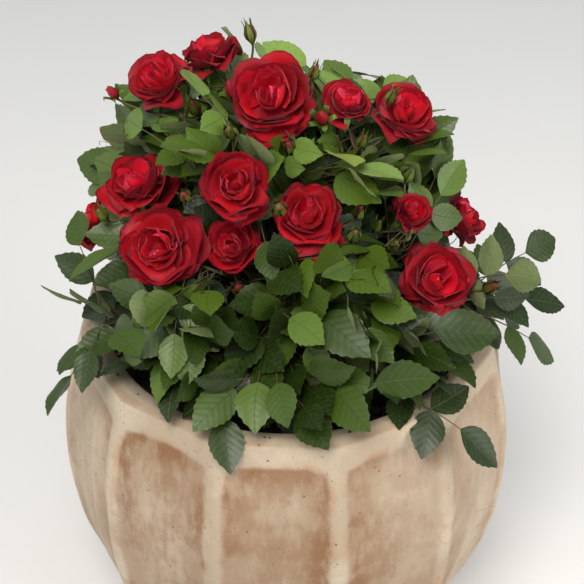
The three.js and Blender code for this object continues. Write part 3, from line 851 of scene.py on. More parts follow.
def tip_of(leaflet):
    return leaflet["root"] + leaflet["along"] * LEAFLET_LONG * leaflet["size"]


def in_space(mass, point, slack):
    own = (point - mass["middle"]).length
    return all(other is mass or (point - other["middle"]).length + slack > own for other in masses)


# The crown's outline as it is seen from the front: right of the rim's middle, and above it, at its distance.
CROWN_SHAPE = [
    (-166, -82), (-223, -89), (-232, -67), (-225, -38), (-179, -23), (-172, 11), (-193, 28), (-193, 48),
    (-180, 65), (-221, 85), (-221, 104), (-191, 118), (-219, 136), (-217, 155), (-191, 161),
    (-199, 187), (-180, 206), (-199, 224), (-199, 247), (-164, 253), (-115, 267), (-86, 285),
    (-42, 275), (12, 257), (46, 249), (110, 232), (159, 211), (192, 199), (186, 179), (161, 157),
    (159, 109), (151, 74), (188, 55), (213, 44), (272, 46), (274, 21), (237, 9), (215, -4), (214, -58),
    (231, -67), (229, -89), (194, -91), (171, -79), (149, -92), (110, -118), (41, -126), (-47, -126),
    (-95, -116), (-135, -92),
]
BUD_ROOM = 10
BUD_AHEAD = -14
BUD_DOWN = 8
HELD_OPEN = 0.95  # the share of a bloom's radius that no leaf enters
STALK_CLEAR = 1.1
MOST_LEAFLETS = 9000
SAME_LEAF = 0.4
SIDE_TWIGS = 2
LEAF_TURN = 1.6  # how far a shoot's first leaf is turned on from the shoot


def in_crown_shape(point):
    from_eye = point - EYE
    share = EYE_FAR / from_eye.dot(FORWARD)
    x, y = from_eye.x * share, from_eye.dot(UPRIGHT) * share
    inside = False
    for (x0, y0), (x1, y1) in zip(CROWN_SHAPE, CROWN_SHAPE[1:] + CROWN_SHAPE[:1]):
        if (y0 > y) != (y1 > y) and x < x0 + (y - y0) * (x1 - x0) / (y1 - y0):
            inside = not inside
    return inside


def ahead_and_aside(offset, way):
    ahead = offset.dot(way)
    return ahead, (offset - way * ahead).length


shown_buds = []
for bloom in front_blooms:
    for degrees in bloom["buds"]:
        tip = bud_tip(bloom, degrees)
        shown_buds.append((tip, (EYE - tip).normalized()))


def clear_of_blooms(point, more=0):
    """Whether a point leaves the blooms and the front buds in the open."""
    for tip, view in shown_buds:
        ahead, aside = ahead_and_aside(point - tip + UP * BUD_DOWN, view)
        if ahead > BUD_AHEAD and aside < BUD_ROOM:
            return False
    for bloom in blooms:
        from_centre = point - bloom["centre"]
        if from_centre.length < bloom["radius"] * HELD_OPEN + more:
            return False
        for way, room in bloom["open_ways"]:
            ahead, aside = ahead_and_aside(from_centre, way)
            if ahead > 0 and aside < bloom["radius"] * room + more:
                return False
    return True


def hides_bloom(point):
    """Whether a thin stalk at a point would cross a front bloom."""
    for bloom in front_blooms:
        ahead, aside = ahead_and_aside(point - bloom["centre"], bloom["view"])
        if ahead > 0 and aside < bloom["radius"] * STALK_CLEAR:
            return True
    return False


def bare_of_blooms(bend):
    return all(clear_of_blooms(bend.point(t)) for t in (0.3, 0.6, 0.85, 1))


def over_pot(point):
    reach = math.hypot(point.x, point.y)
    return point.z > (SOIL_Z + 10 if reach < MOUTH_R - 8 else SHOULDER_Z + 22)


class Middles:
    """The middles of the leaflets that stand so far, which keep the next ones apart."""

    def __init__(self):
        self.points, self.count = np.empty((MOST_LEAFLETS, 3)), 0

    def add(self, point):
        self.points[self.count] = point
        self.count += 1

    def nearest(self, point):
        return np.linalg.norm(self.points[: self.count] - np.array(point), axis=1).min()


twigs = Limbs(6, 10)
leaves = []
middles = Middles()


def stand(leaf, age, crown):
    """Keeps a posed leaf: its rachis joins the twigs, and its leaflets wait to be cut."""
    leaf["age"], leaf["crown"] = age, crown
    shown = [one for one in leaf["leaflets"] if clear_of_blooms(one["root"].lerp(tip_of(one), 0.6), 2)]
    leaf["leaflets"] = shown
    if not shown:
        return
    foot, middle, _ = leaf["rachis"].points
    last = max(one["at"] for one in shown)
    rachis = Bend(foot, foot.lerp(middle, last), leaf["rachis"].point(last))
    if any(hides_bloom(rachis.point(t)) for t in (0.25, 0.5, 0.75, 1)):
        return
    leaves.append(leaf)
    twigs.add(rachis, *RACHIS_R, 5)
    for one in shown:
        middles.add(one["root"].lerp(tip_of(one), 0.5))


sprouting = []
for mass in masses:
    number = mass["number"]
    solid = packed_points(f"foliage_{number:02d}")
    draw = Draw(number)
    turn = draw.between(0, TAU)
    main_twig = mass["twig"]
    borne_here = [(t, turn + i * SPIRAL, draw_leaf(draw)) for i, t in enumerate(MAIN_SPOTS)]
    shoots = [(main_twig, borne_here)]
    for s in range(SIDE_TWIGS):
        t = 0.1 + 0.8 * (s + draw.between(0.1, 0.9)) / SIDE_TWIGS
        way = turn + 1.2 + s * SPIRAL
        heading = off_twig(main_twig, t, way, out=0.45, lift=0.4)
        foot = main_twig.point(t)
        long = draw.between(30, 54)
        bend = Bend(foot, foot + heading * long * 0.5, foot + heading * long + UP * long * 0.1)
        borne_here = [(t, way + LEAF_TURN + i * SPIRAL, draw_leaf(draw)) for i, t in enumerate(SIDE_SPOTS)]
        shoots.append((bend, borne_here))
    for bend, borne_here in shoots:
        main = bend is main_twig
        borne = 0
        for t, way, leaf in borne_here:
            for form, extra in itertools.product((leaf, trimmed(leaf)), TURNS):
                posed = pose_leaf(form, bend, t, way + extra)
                if solid.find(tip_of(posed["leaflets"][-1]))[2] < SAME_LEAF:
                    stand(posed, t, bend.point(t))
                    borne += 1
                    break
        if main or borne:
            twigs.add(bend, *(TWIG_R if main else SIDE_TWIG_R))
            sprouting.append((mass, bend, main))

# The finer shoots grow from the same limbs and stay within the crown's reach. They leave every bloom in
# the open and keep off the pot's rim, and those of the high masses stand apart, so that the sky shows.
CONE = math.cos(math.radians(11))
BEYOND = 7
OWN_SPACE = 55
LEAF_ROOM = (23.4, 16.2, 18.63)  # from leaflet to leaflet, in the low, the middle and the upper ring
SHOOTS = ((5, 3), (6, 3), (4, 2))  # on a main twig and on a side twig, in the same rings
STALK_SHOOTS = 5
CANE_SHOOTS = 5
STALK_SHOOT = ((0.1, 0.85), (8, 26), 0.9)  # its place on the limb, its length, the radius of its foot
TWIG_SHOOT = ((0.08, 1), (18, 44), 1.0)
SECOND_SHOOT = ((0.4, 1), (14, 30), 0.8)
CANE_SHOOT = ((0.4, 1), (22, 50), 1.0)
SHOOT_SPOTS = (1, 0.55, 0.2)
SHOOT_TIP_R = 0.6
SHORT_SHOOT = 30
TO_LIGHT = 0.6

crown = np.concatenate([
    np.array([vert.co for vert in node.data.vertices]) / MM
    for name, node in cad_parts.items() if name.startswith(("foliage", "bloom"))
]) - np.array(CROWN_MIDDLE)
crown_reach = np.linalg.norm(crown, axis=1)
crown_ways = crown / crown_reach[:, None]


def depth_in_crown(point):
    """How far a point lies inside the crown's reach. Below zero it is outside."""
    way = point - CROWN_MIDDLE
    near = crown_ways @ np.array(way.normalized()) > CONE
    return crown_reach[near].max() - way.length if near.any() else -100


def within_reach(point):
    return depth_in_crown(point) > -BEYOND


def fits(mass, posed):
    for one in posed["leaflets"]:
        tip = tip_of(one)
        middle = one["root"].lerp(tip, 0.5)
        side = one["across"] * LEAFLET_WIDE * one["size"] * 0.42
        if middles.nearest(middle) < LEAF_ROOM[mass["ring"]] * one["size"]:
            return False
        for point in (tip, middle, middle + side, middle - side):
            if not (clear_of_blooms(point, 1.5) and over_pot(point) and in_space(mass, point, OWN_SPACE)):
                return False
        if not (within_reach(tip) and in_crown_shape(tip) and in_crown_shape(middle)):
            return False
    return True


growth = Draw(977)


def sprout(mass, bend, span, longs, foot_r):
    """Grows one finer shoot with its leaves somewhere along a span of a limb, if it has room to bear any."""
    t = growth.between(*span)
    way = growth.between(0, TAU)
    long = growth.between(*longs)
    heading = off_twig(bend, t, way, out=0.4, lift=0.3)
    foot = bend.point(t)
    tip = foot + heading * long + UP * long * 0.12
    shoot = Bend(foot, foot + heading * long * 0.5, tip)
    borne = 0
    if not (over_pot(tip) and within_reach(tip) and bare_of_blooms(shoot)):
        return None
    for i, spot in enumerate(SHOOT_SPOTS):
        leaf = draw_leaf(growth, growth.between(0.84, 1.14), 2.2)
        turn = way + LEAF_TURN + i * SPIRAL
        forms = (leaf, trimmed(leaf), {**leaf, "leaflets": leaf["leaflets"][-1:]})
        for form, extra in itertools.product(forms, TURNS):
            posed = pose_leaf(form, shoot, spot, turn + extra, TO_LIGHT)
            if bare_of_blooms(posed["rachis"]) and fits(mass, posed):
                stand(posed, spot if long < SHORT_SHOOT else 0.5, tip)
                borne += 1
                break
    if not borne:
        return None
    twigs.add(shoot, foot_r, SHOOT_TIP_R, 6)
    return shoot


for bloom in blooms:
    for _ in range(STALK_SHOOTS):
        sprout(masses[bloom["mass"] - 1], bloom["stalk"], *STALK_SHOOT)
for mass, bend, main in sprouting:
    for _ in range(SHOOTS[mass["ring"]][0 if main else 1]):
        shoot = sprout(mass, bend, *TWIG_SHOOT)
        if shoot:
            for _ in range(2):
                sprout(mass, shoot, *SECOND_SHOOT)
for mass in masses:
    for _ in range(CANE_SHOOTS):
        sprout(mass, mass["cane"], *CANE_SHOOT)

soft_bark = Finish("young_bark", {"Specular IOR Level": 0.4})
spot = soft_bark.map_place()
tint = soft_bark.clouds(soft_bark.stretched(spot, (3, 9, 1)), 1.2, 4)
streak = soft_bark.clouds(soft_bark.stretched(spot, (30, 3, 1)), 1, 3)
soft_bark.coat(soft_bark.mix(soft_bark.rise(tint, 0.38, 0.54), *YOUNG_BARK), (streak * 0.4, YOUNG_STREAK))
soft_bark.show("Roughness", 0.5 + tint * 0.2)
soft_bark.relief(streak, 0.3, 0.0003)
piece("twigs", twigs.mesh("twigs"), soft_bark)

# The prickles stand on the canes and at the foot of the main twigs. They are flat horny spikes, broad
# where they grow on the bark and turned down towards the tip.
THORN_COLOURS = ((0.12, 0.09, 0.04), (0.26, 0.07, 0.04))
CANE_THORNS = [0.25 + 0.14 * k for k in range(5)]
CANE_THORN_LONG = 4.5
CANE_MID_R = 3.4
TWIG_THORNS = (0.2, 0.45)
TWIG_THORN_LONG = 3.2

thorns = Heap()
thorn_form = bmesh.new()
bmesh.ops.create_cone(thorn_form, cap_ends=True, segments=5, radius1=1, radius2=0.06, depth=1)
thorn_points, thorn_faces = shape_of(thorn_form)
thorn_points = thorn_points + np.array([0, 0, 0.5])


def arm(bend, radius, places, size):
    """Sets down-turned prickles on a limb."""
    thick, broad, high = (thorn_points * np.array([0.28, 0.55, 1]) * size).T
    for t in places:
        seat, axis = bend.point(t), bend.tangent(t)
        side = axis.orthogonal()
        side.rotate(axis.to_track_quat("Z", "Y"))
        turn = SPIRAL * t * 40
        third = axis.cross(side).normalized()
        out = (side * math.cos(turn) + third * math.sin(turn)).normalized()
        down = broad - thorn_points[:, 2] ** 2 * 0.45 * size
        shape = np.outer(thick, axis.cross(out).normalized()) + np.outer(down, axis) + np.outer(high, out)
        spots = on_tile(0, 0.5 + 0.3 * thorn_points[:, 0], thorn_points[:, 2])
        thorns.add(shape + np.array(seat + out * radius * 0.8), thorn_faces, spots)


for mass in masses:
    arm(mass["cane"], CANE_MID_R, CANE_THORNS, CANE_THORN_LONG)
for mass in masses:
    arm(mass["twig"], TWIG_R[0], TWIG_THORNS, TWIG_THORN_LONG)
thorn_red = Finish("thorn", {"Roughness": 0.5, "Specular IOR Level": 0.4})
thorn_red.show("Base Color", thorn_red.mix(Tile(thorn_red).up, *THORN_COLOURS))
piece("prickles", thorns.mesh("prickles"), thorn_red)

# A leaflet is a pointed oval with a fine saw edge, folded a little along its midrib and arched over. It
# is dark and glossy above and pale and matt below, so each one is an upper and a lower sheet that meet at
# the edge.
TEETH = 8
FOLD_UP = 0.34
SHEET_APART = 0.4
CROWN_TALL = 240
LEVELS = (0.22, 0.5)  # where the middle and the top leaves begin, as shares of the crown's height
UPPER_TILES = 12
# Painted light: the leaves' tiles run from darker at the rim to lighter at the crown's top, as if lit from
# above.
PAINTED_SHADE_AT_RIM = 0.8
PAINTED_LIGHT_TO_TOP = 9.6  # tiles from the rim to the crown's top
LEAF_SHADOW = (0.03, 0.07, 0.015)
VEIN = (0.22, 0.32, 0.1)
MIDRIBS = ((0.035, 0.06, 0.012), (0.28, 0.36, 0.13))
BROWN_EDGE = (0.16, 0.1, 0.03)


def half_width(run):
    blunt = 1 - 0.35 * max(0, (run - 0.82) / 0.18) ** 1.5
    return 0.5 * math.sin(math.pi * run**0.82) ** 0.86 * blunt


spine = [(run / 4, 0) for run in range(5)]
quills = [(run / 4, 0.5 * half_width(run / 4)) for run in range(1, 4)]
edge = []
for k in range(1, 2 * TEETH):
    run, out = k / (2 * TEETH), 1.0 if k % 2 else 0.94
    edge.append((run + (0.012 if k % 2 else -0.006), half_width(run) * out))
outline = spine + quills + edge + [(run, -side) for run, side in quills + edge]
LEAF_RUN = np.array([run for run, _ in outline])
LEAF_SIDE = np.array([side for _, side in outline])
inner_points = np.array([k < 8 or 23 <= k < 26 for k in range(len(outline))])


def leaf_half(quill, rim):
    """The faces of one half of a leaflet, from its midrib to its edge."""
    faces = [(0, 1, quill), (3, 4, quill + 2)]
    for k in (1, 2):
        faces += [(k, k + 1, quill + k), (k, quill + k, quill + k - 1)]
    last = rim + 2 * TEETH - 2
    faces += [(0, rim + 1, rim), (0, rim + 2, rim + 1), (0, quill, rim + 2), (quill, rim + 3, rim + 2)]
    for k in (0, 1):
        first = rim + 4 * k + 3
        faces += [(quill + k, first + 1, first), (quill + k, first + 2, first + 1)]
        faces += [(quill + k, quill + k + 1, first + 2), (quill + k + 1, first + 3, first + 2)]
        faces += [(quill + k + 1, first + 4, first + 3)]
    faces += [(quill + 2, last - 2, last - 3), (quill + 2, last - 1, last - 2)]
    return faces + [(quill + 2, 4, last - 1), (4, last, last - 1)]


upper_faces = leaf_half(5, 8) + [face[::-1] for face in leaf_half(23, 26)]
lower_faces = [face[::-1] for face in upper_faces]


def lay_leaflet(heap, one, tile):
    """Lays one leaflet with its own fold, arch, curl and wave, in a tile's green above and paler below."""
    long = LEAFLET_LONG * one["size"]
    wide = LEAFLET_WIDE * one["size"] * draw.between(0.94, 1.1)
    fold = draw.between(0.5, 1.25) * FOLD_UP
    arch = draw.between(0.05, 0.17)
    curl = draw.between(0.2, 0.6)
    wave = draw.between(0.2, 0.6) * 0.05
    phase = draw.between(0, 6)
    bend = draw.between(-0.06, 0.06)
    out = np.abs(LEAF_SIDE)
    rise = wide * (fold * out - curl * out**2 + wave * np.sin(9 * LEAF_RUN + phase) * out * 2)
    rise -= long * arch * LEAF_RUN**2
    side = wide * (LEAF_SIDE + bend * np.sin(math.pi * LEAF_RUN) * 1.2)
    points = np.outer(LEAF_RUN * long, one["along"]) + np.outer(side, one["across"])
    points += np.outer(rise, one["face"]) + np.array(one["root"])
    under = points - np.outer(inner_points * SHEET_APART, one["face"])
    heap.add(points, upper_faces, on_tile(tile, LEAF_RUN, LEAF_SIDE + 0.5))
    heap.add(under, lower_faces, on_tile(UPPER_TILES + tile // 3, LEAF_RUN, LEAF_SIDE + 0.5))


def paint(red, green, blue):
    return tuple((part / 255) ** 2.2 for part in (red, green, blue))


# The twelve upper greens also serve as painted shade and painted light: leaves in shade take the darker
# tiles.
GREENS = [  # twelve upper sides from the shade to the light, and four undersides
    paint(31, 43, 11), paint(39, 53, 13), paint(48, 64, 16), paint(58, 76, 20), paint(70, 89, 26),
    paint(80, 102, 38), paint(90, 114, 46), paint(99, 124, 54), paint(107, 132, 61), paint(115, 140, 66),
    paint(127, 149, 68), paint(139, 157, 68),
    paint(112, 126, 82), paint(122, 136, 88), paint(132, 144, 94), paint(146, 156, 102),
]

draw = Draw(313)
heaps = [Heap(), Heap(), Heap()]
for leaf in leaves:
    high = (leaf["crown"].z - SHOULDER_Z) / CROWN_TALL
    # Painted shade: the low right side of the crown takes darker tiles.
    painted_shade_low_right = 1.2 if leaf["crown"].x > 60 and high < 0.35 else 0
    # Painted light: higher leaves take lighter tiles. Younger leaves are lighter too, and a few at random
    # much lighter.
    light_shade_and_age_tile = PAINTED_SHADE_AT_RIM + PAINTED_LIGHT_TO_TOP * high - painted_shade_low_right + 2 * (leaf["age"] - 0.5)
    light_shade_and_age_tile += draw.between(-2, 2) + (4 if draw.between(0, 1) < 0.04 else 0)
    heap = heaps[sum(high >= level for level in LEVELS)]
    for one in leaf["leaflets"]:
        # Painted shade: leaflets deeper inside the crown take darker tiles.
        depth = max(depth_in_crown(one["root"]) - 30, 0)
        leaflet_light_shade_and_age_tile = light_shade_and_age_tile - depth / (16 + 16 * high) + draw.between(-0.8, 0.8)
        lay_leaflet(heap, one, int(min(max(leaflet_light_shade_and_age_tile, 0), UPPER_TILES - 1)))

green_leaf = Finish("rose_leaf", {"Specular IOR Level": 0.36})
tile = Tile(green_leaf)
run = tile.across
side = abs(tile.up - 0.5)
under = green_leaf.rise(tile.share, 0.745, 0.755)
between_veins = abs(((run - side * 0.6) * 7.5).of("FRACT") - 0.5)
veins = (1 - green_leaf.rise(between_veins, 0.02, 0.13)) * (1 - green_leaf.rise(side, 0.3, 0.48))
midrib = 1 - green_leaf.rise(side, 0.004, 0.016)
mottle = green_leaf.clouds(tile.spot, 34, 5, 0.6)
leaf_edge = 0.5 * (run**0.78 * math.pi).of("SINE") ** 0.82 + 0.01
green_leaf.coat(
    tile.paints(GREENS),
    (green_leaf.rise(mottle, 0.4, 0.75) * 0.28, LEAF_SHADOW),
    (veins * 0.06, VEIN),
    (midrib * 0.5, green_leaf.mix(under, *MIDRIBS)),
    (green_leaf.rise(side / leaf_edge, 0.86, 1) * 0.18, BROWN_EDGE),
)
green_leaf.show("Roughness", 0.34 + under * 0.34 + mottle * 0.12)
green_leaf.relief(between_veins * 0.6 - midrib * 0.8 + mottle * 0.7, 0.5, 0.0006)
for part, heap in zip(("low", "middle", "top"), heaps):
    made = piece(f"leaves_{part}", heap.mesh(f"leaves_{part}"), green_leaf)
    if part == "low":
        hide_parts(*[f"foliage_{k:02d}" for k in range(1, 20)])

# Every bloom ends a flowering twig: a reddish stalk with a swollen hip, five pointed sepals, and broad
# velvety petals in whorls that wrap a pinker heart, partly its own colour and partly a painted highlight.
# Buds stand beside it on thinner stalks.
STALK_R = 1.7
BUD_STALK_R = 1.1
BUD_LONG = 19
BUD_R = 5.6
HIP_R = (2.2, 5)
BUD_HIP_R = (1.3, 2.9)
PETAL_THICK = 0.35
SEPAL_THICK = 0.3
SEPAL_HALF = 3.4
BUD_SEPAL_HALF = 2.7
SIDE_STEPS = 8
WHORLS = [
    # petals, age, half width, roll of the margin
    (3, 0.0, 0.38, 0.0), (3, 0.3, 0.76, 0.1), (3, 0.56, 1.0, 0.3),
    (4, 0.8, 1.02, 0.6), (5, 0.95, 0.86, 0.9), (5, 1.0, 0.7, 1.0),
]
LOOSE = {2: (262,), 11: (285, 30), 5: (170, 10), 7: (300,)}  # blooms with petals that hang, and where
LOOSE_PETAL = (1.0, 0.62, 0.5, 0.45, 1.32)  # its age, half width, roll, tilt and growth past the whorl
OPEN_SEPAL = [(2, -1), (6, 1.5), (11, 1), (14.5, -3), (16, -8), (16, -13)]
RED_BUD_SEPAL = [(1.5, -1), (BUD_R * 0.9, 2.5), (BUD_R + 1.5, 6), (BUD_R + 4.5, 9), (11, 8), (12.5, 5)]
# The colour laid at the petals' bases as painted shade, where they overlap in the cup.
PAINTED_SHADE_AT_PETAL_BASE = (0.11, 0.0, 0.008)
BRIGHT_RED = (0.72, 0.02, 0.05)
FIBRE = (0.2, 0.0, 0.012)
OLD_MARGIN = (0.06, 0.0, 0.012)
BUD_FOLD_SHADE = (0.1, 0.008, 0.012)

u, v = np.meshgrid(np.linspace(-1, 1, SIDE_STEPS), np.linspace(0, 1, SIDE_STEPS))
PETAL_SIDE, PETAL_RUN = u.ravel(), v.ravel()
petal_outer = []
for row in range(SIDE_STEPS - 1):
    for k in range(SIDE_STEPS - 1):
        first = row * SIDE_STEPS + k
        petal_outer.append((first, first + 1, first + SIDE_STEPS + 1, first + SIDE_STEPS))
petal_inner = [face[::-1] for face in petal_outer]
petal_rim = (np.abs(PETAL_SIDE) > 0.99) | (PETAL_RUN > 0.99) | (PETAL_RUN < 0.01)


def square_to(axis):
    """Two directions that stand square to an axis and to each other."""
    first = axis.orthogonal().normalized()
    return first, axis.cross(first)


def lay_petal(bloom, angle, age, half, roll, tilt, grow=1):
    """Lays one petal of a whorl: a curved sheet that follows the cup, with a rolled and wavy margin."""
    opened, shut = bloom["open"], 1 - bloom["open"]
    run = PETAL_RUN * (1 - 0.36 * np.abs(PETAL_SIDE) ** 2.2)
    profile = np.array([
        (0.03, -0.52),
        (0.2 + 0.42 * age, -0.5),
        (0.36 + 0.6 * age - 0.18 * shut * age, -0.04 - 0.24 * age * opened),
        (0.12 + 0.8 * age - 0.24 * shut * age, 0.44 - 0.26 * age + 0.34 * shut * age),
    ]) * draw.between(0.8, 1.06) * (0.95 if age == 1 else 1)
    powers = np.stack([(1 - run) ** 3, 3 * (1 - run) ** 2 * run, 3 * (1 - run) * run**2, run**3], 1)
    reach, height = (powers @ profile).T
    rolled = np.clip((PETAL_RUN - 0.66) / 0.34, 0, 1) ** 2
    corner = np.abs(PETAL_SIDE) ** 3 * PETAL_RUN
    reach = reach + roll * (0.12 * rolled + 0.05 * corner) + 0.04 * PETAL_SIDE * PETAL_RUN
    height = height - roll * (0.13 * rolled + 0.05 * corner)
    wave = draw.between(0, 6)
    height = height + 0.1 * np.sin(3.2 * PETAL_SIDE + wave) * PETAL_RUN**2
    reach = reach + 0.07 * np.sin(3.8 * PETAL_SIDE + 2 * wave) * PETAL_RUN**2
    dent = np.exp(-((PETAL_SIDE * 4) ** 2)) * np.clip(PETAL_RUN - 0.8, 0, 1) * draw.between(0, 0.5)
    out, up = reach - 0.03, height - dent + 0.52
    reach = 0.03 + out * math.cos(tilt) + up * math.sin(tilt)
    height = -0.52 + up * math.cos(tilt) - out * math.sin(tilt)
    width = half * (0.17 + 0.83 * np.sin(math.pi / 2 * np.minimum(1, PETAL_RUN / 0.7)))
    turn = angle + PETAL_SIDE * np.minimum(width / np.maximum(reach, 0.24), 1.25)
    face = bloom["faces"]
    first, second = square_to(face)
    away = np.outer(np.cos(turn), first) + np.outer(np.sin(turn), second)
    points = away * reach[:, None] + np.outer(height, face)
    points = points * bloom["radius"] * grow + np.array(bloom["centre"])
    backs = points + (away - 0.5 * np.array(face)) * (PETAL_THICK * ~petal_rim)[:, None]
    variant = int(draw.between(0, 4))
    # The heart's petals take the pink tiles, partly their own colour and partly a painted highlight.
    inner_tile = variant + (8 if age < 0.4 else 4 if age < 0.7 else 0)
    # The backs take the darkest reds, and the old outer petals darker reds than the young: partly their own
    # colour and partly painted shade.
    outer_tile = variant + (12 if age > 0.7 else 4)
    petals.add(points, petal_inner, on_tile(inner_tile, 0.5 + 0.5 * PETAL_SIDE, PETAL_RUN))
    petals.add(backs, petal_outer, on_tile(outer_tile, 0.5 + 0.5 * PETAL_SIDE, PETAL_RUN))


petals, sepals, bud_heads = Heap(), Heap(), Heap()
stalks = Limbs(8, 12)
bud_form = bmesh.new()
bmesh.ops.create_uvsphere(bud_form, u_segments=12, v_segments=9, radius=1)
bud_points, bud_faces = shape_of(bud_form)
BUD_ROUND = np.arctan2(bud_points[:, 1], bud_points[:, 0]) / TAU + 0.5
BUD_RISE = (bud_points[:, 2] + 1) / 2
SEPAL_RUN = np.repeat(np.linspace(0, 1, 6), 3)
SEPAL_SIDE = np.tile([-1.0, 0.0, 1.0], 6)
sepal_faces = []
for row in range(5):
    for k in range(2):
        first = row * 3 + k
        sepal_faces.append((first, first + 1, first + 4, first + 3))


def lay_sepal(base, axis, angle, profile, wide, tile):
    """Lays one sepal along a profile of [away from the axis, along it]."""
    first, second = square_to(axis)
    out = first * math.cos(angle) + second * math.sin(angle)
    across = axis.cross(out)
    knots = np.linspace(0, 1, len(profile))
    reach = np.interp(SEPAL_RUN, knots, [place[0] for place in profile])
    along = np.interp(SEPAL_RUN, knots, [place[1] for place in profile])
    width = wide * np.sin(math.pi * np.minimum(1, 0.28 + 0.72 * SEPAL_RUN)) ** 0.9
    lean = draw.between(-0.12, 0.12) * SEPAL_RUN * 12
    points = np.outer(reach + 0.3 * np.abs(SEPAL_SIDE), out) + np.outer(along, axis)
    points += np.outer(SEPAL_SIDE * width + lean, across) + np.array(base)
    backs = points - np.outer(SEPAL_THICK * (SEPAL_SIDE == 0), out)
    spots = on_tile(tile, SEPAL_RUN, 0.5 + 0.45 * SEPAL_SIDE)
    sepals.add(points, sepal_faces, spots)
    sepals.add(backs, [face[::-1] for face in sepal_faces], spots)


def set_bud(tip, axis, red, scale):
    """Sets a bud with its point at `tip`: a twisted egg of petals, held by five sepals."""
    first, second = square_to(axis)
    twist = 1.2 * BUD_RISE
    wide = (1 - 0.42 * BUD_RISE**2) * BUD_R * scale
    x = (bud_points[:, 0] * np.cos(twist) - bud_points[:, 1] * np.sin(twist)) * wide
    y = (bud_points[:, 0] * np.sin(twist) + bud_points[:, 1] * np.cos(twist)) * wide
    base = tip - axis * BUD_LONG * scale
    points = np.outer(x, first) + np.outer(y, second) + np.outer(BUD_RISE * BUD_LONG * scale, axis)
    tile = 5 if red else 12 + int(draw.between(0, 2))
    bud_heads.add(points + np.array(base), bud_faces, on_tile(tile, BUD_ROUND, BUD_RISE))
    half = BUD_SEPAL_HALF * scale
    for k in range(5):
        spread = draw.between(0.9, 1.3)
        profile = RED_BUD_SEPAL if red else [
            (1.5, -1), (BUD_R * 0.92, 4), (BUD_R + 0.5, 9), (BUD_R * 0.86, 14),
            (BUD_R * 0.62 * spread, 18), (BUD_R * 0.7 * spread**2, 25),
        ]
        profile = [(away * scale, along * scale) for away, along in profile]
        lay_sepal(base, axis, k * TAU / 5 + 0.3, profile, half, int(draw.between(3, 8)))
    hip = Bend(base - axis * 3.5, base - axis * 1.5, base + axis * 2)
    stalks.add(hip, BUD_HIP_R[0], BUD_HIP_R[1] * scale, 4)


draw = Draw(1601)
for bloom in blooms:
    centre, radius, face = bloom["centre"], bloom["radius"], bloom["faces"]
    calyx, stalk = bloom["calyx"], bloom["stalk"]
    stalks.add(stalk, STALK_R, STALK_R * 0.85)
    hip = Bend(calyx - face * 5, calyx - face * 2, calyx + face * 0.12 * radius)
    stalks.add(hip, *HIP_R, 5)
    for k in range(5):
        lay_sepal(calyx, face, k * TAU / 5 + bloom["row"], OPEN_SEPAL, SEPAL_HALF, int(draw.between(4, 9)))
    for degrees in bloom["buds"]:
        tip = bud_tip(bloom, degrees)
        fork = stalk.point(0.55)
        under_bloom = tip - face * 1.1 * radius
        axis = Bend(fork, under_bloom, tip).tangent(0.95)
        red = draw.between(0, 1) < 0.25
        set_bud(tip, axis, red, draw.between(0.8, 1.12))
        bud_stalk = Bend(fork, fork.lerp(under_bloom, 0.9), tip - axis * BUD_LONG)
        stalks.add(bud_stalk, BUD_STALK_R, BUD_STALK_R, 8)
    turned_by = draw.between(0, TAU)
    first, second = square_to(face)
    heart = np.outer(bud_points[:, 0], first) + np.outer(bud_points[:, 1], second)
    heart = heart * 0.12 + np.outer(bud_points[:, 2] * 0.3 - 0.28, face)
    heart_spots = on_tile(bloom["row"] % TILES, BUD_ROUND, BUD_RISE)
    petals.add(heart * radius + np.array(centre), bud_faces, heart_spots)
    for whorl, (count, age, half, roll) in enumerate(WHORLS):
        for k in range(count):
            angle = turned_by + whorl * 2.4 + TAU * k / count + draw.between(-0.2, 0.2) * (1 + age)
            tilt = draw.between(-0.2, 0.16) + (draw.between(-0.2, 0.38) if age < 0.5 else 0)
            if whorl == len(WHORLS) - 1:
                tilt += draw.between(0, 0.6)
            lay_petal(bloom, angle, age, half * draw.between(0.9, 1.1), roll * draw.between(0.5, 1.3), tilt)
    for degrees in LOOSE.get(bloom["row"], ()):
        way = seen_way(degrees)
        lay_petal(bloom, math.atan2(way.dot(second), way.dot(first)), *LOOSE_PETAL)

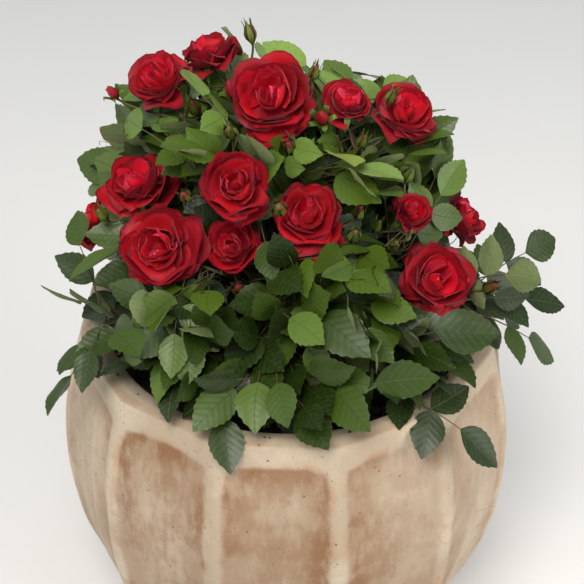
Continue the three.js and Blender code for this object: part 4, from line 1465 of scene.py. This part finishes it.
# Of these, the heart pinks are partly a painted highlight, and the old insides and the backs are darker
# partly by painted shade.
REDS = [  # the insides of old, young and heart petals, and the backs
    paint(160, 4, 22), paint(148, 4, 20), paint(176, 6, 24), paint(136, 4, 20),
    paint(204, 8, 28), paint(190, 8, 26), paint(216, 22, 48), paint(182, 6, 24),
    paint(230, 34, 66), paint(236, 54, 88), paint(220, 22, 48), paint(240, 76, 110),
    paint(112, 4, 24), paint(126, 4, 28), paint(98, 4, 22), paint(136, 6, 30),
]
BUD_COLOURS = [paint(142, 14, 32)] * 12 + [paint(118, 50, 46), paint(104, 92, 52)] * 2

velvet = Finish("rose_petal", {
    "Specular IOR Level": 0.3, "Sheen Weight": 0.22, "Sheen Roughness": 0.4, "Sheen Tint": (1, 0.25, 0.3),
})
tile = Tile(velvet)
fibres = velvet.clouds(velvet.stretched(tile.spot, (90, 7, 1)), 1.5, 4, 0.6)
soft = velvet.clouds(tile.spot, 9, 3)
margin = velvet.rise(tile.up + (soft - 0.5) * 0.1, 0.9, 1.0) * (1 - velvet.rise(tile.share, 0.45, 0.5))
velvet.coat(
    tile.paints(REDS),
    # painted shade: each petal darkens towards its base
    ((1 - velvet.rise(tile.up, 0.1, 0.75)) * 0.6, PAINTED_SHADE_AT_PETAL_BASE),
    (velvet.rise(soft, 0.45, 0.7) * 0.3, BRIGHT_RED),
    (fibres * 0.22, FIBRE),
    (margin * 0.65, OLD_MARGIN),
)
velvet.show("Roughness", 0.52 + fibres * 0.16)
velvet.relief(fibres, 0.35, 0.0004)
petal_piece = piece("petals", petals.mesh("petals"), velvet)
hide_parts(*[f"bloom_{k:02d}" for k in range(1, 20)])

bud_skin = Finish("bud_skin", {"Specular IOR Level": 0.35})
tile = Tile(bud_skin)
wrap = bud_skin.clouds(bud_skin.stretched(tile.spot, (24, 12, 1), (0, 0, 0.5)), 1.5, 3)
# Painted shade: the bud darkens in streaks along the folds of its wrapped petals.
bud_skin.coat(tile.paints(BUD_COLOURS), (bud_skin.rise(wrap, 0.5, 0.62) * 0.6, BUD_FOLD_SHADE))
bud_skin.show("Roughness", 0.45 + wrap * 0.2)
bud_skin.relief(wrap, 0.5, 0.0006)
piece("bud_heads", bud_heads.mesh("bud_heads"), bud_skin)
piece("sepals", sepals.mesh("sepals"), green_leaf)
piece("flower_stalks", stalks.mesh("flower_stalks"), soft_bark)
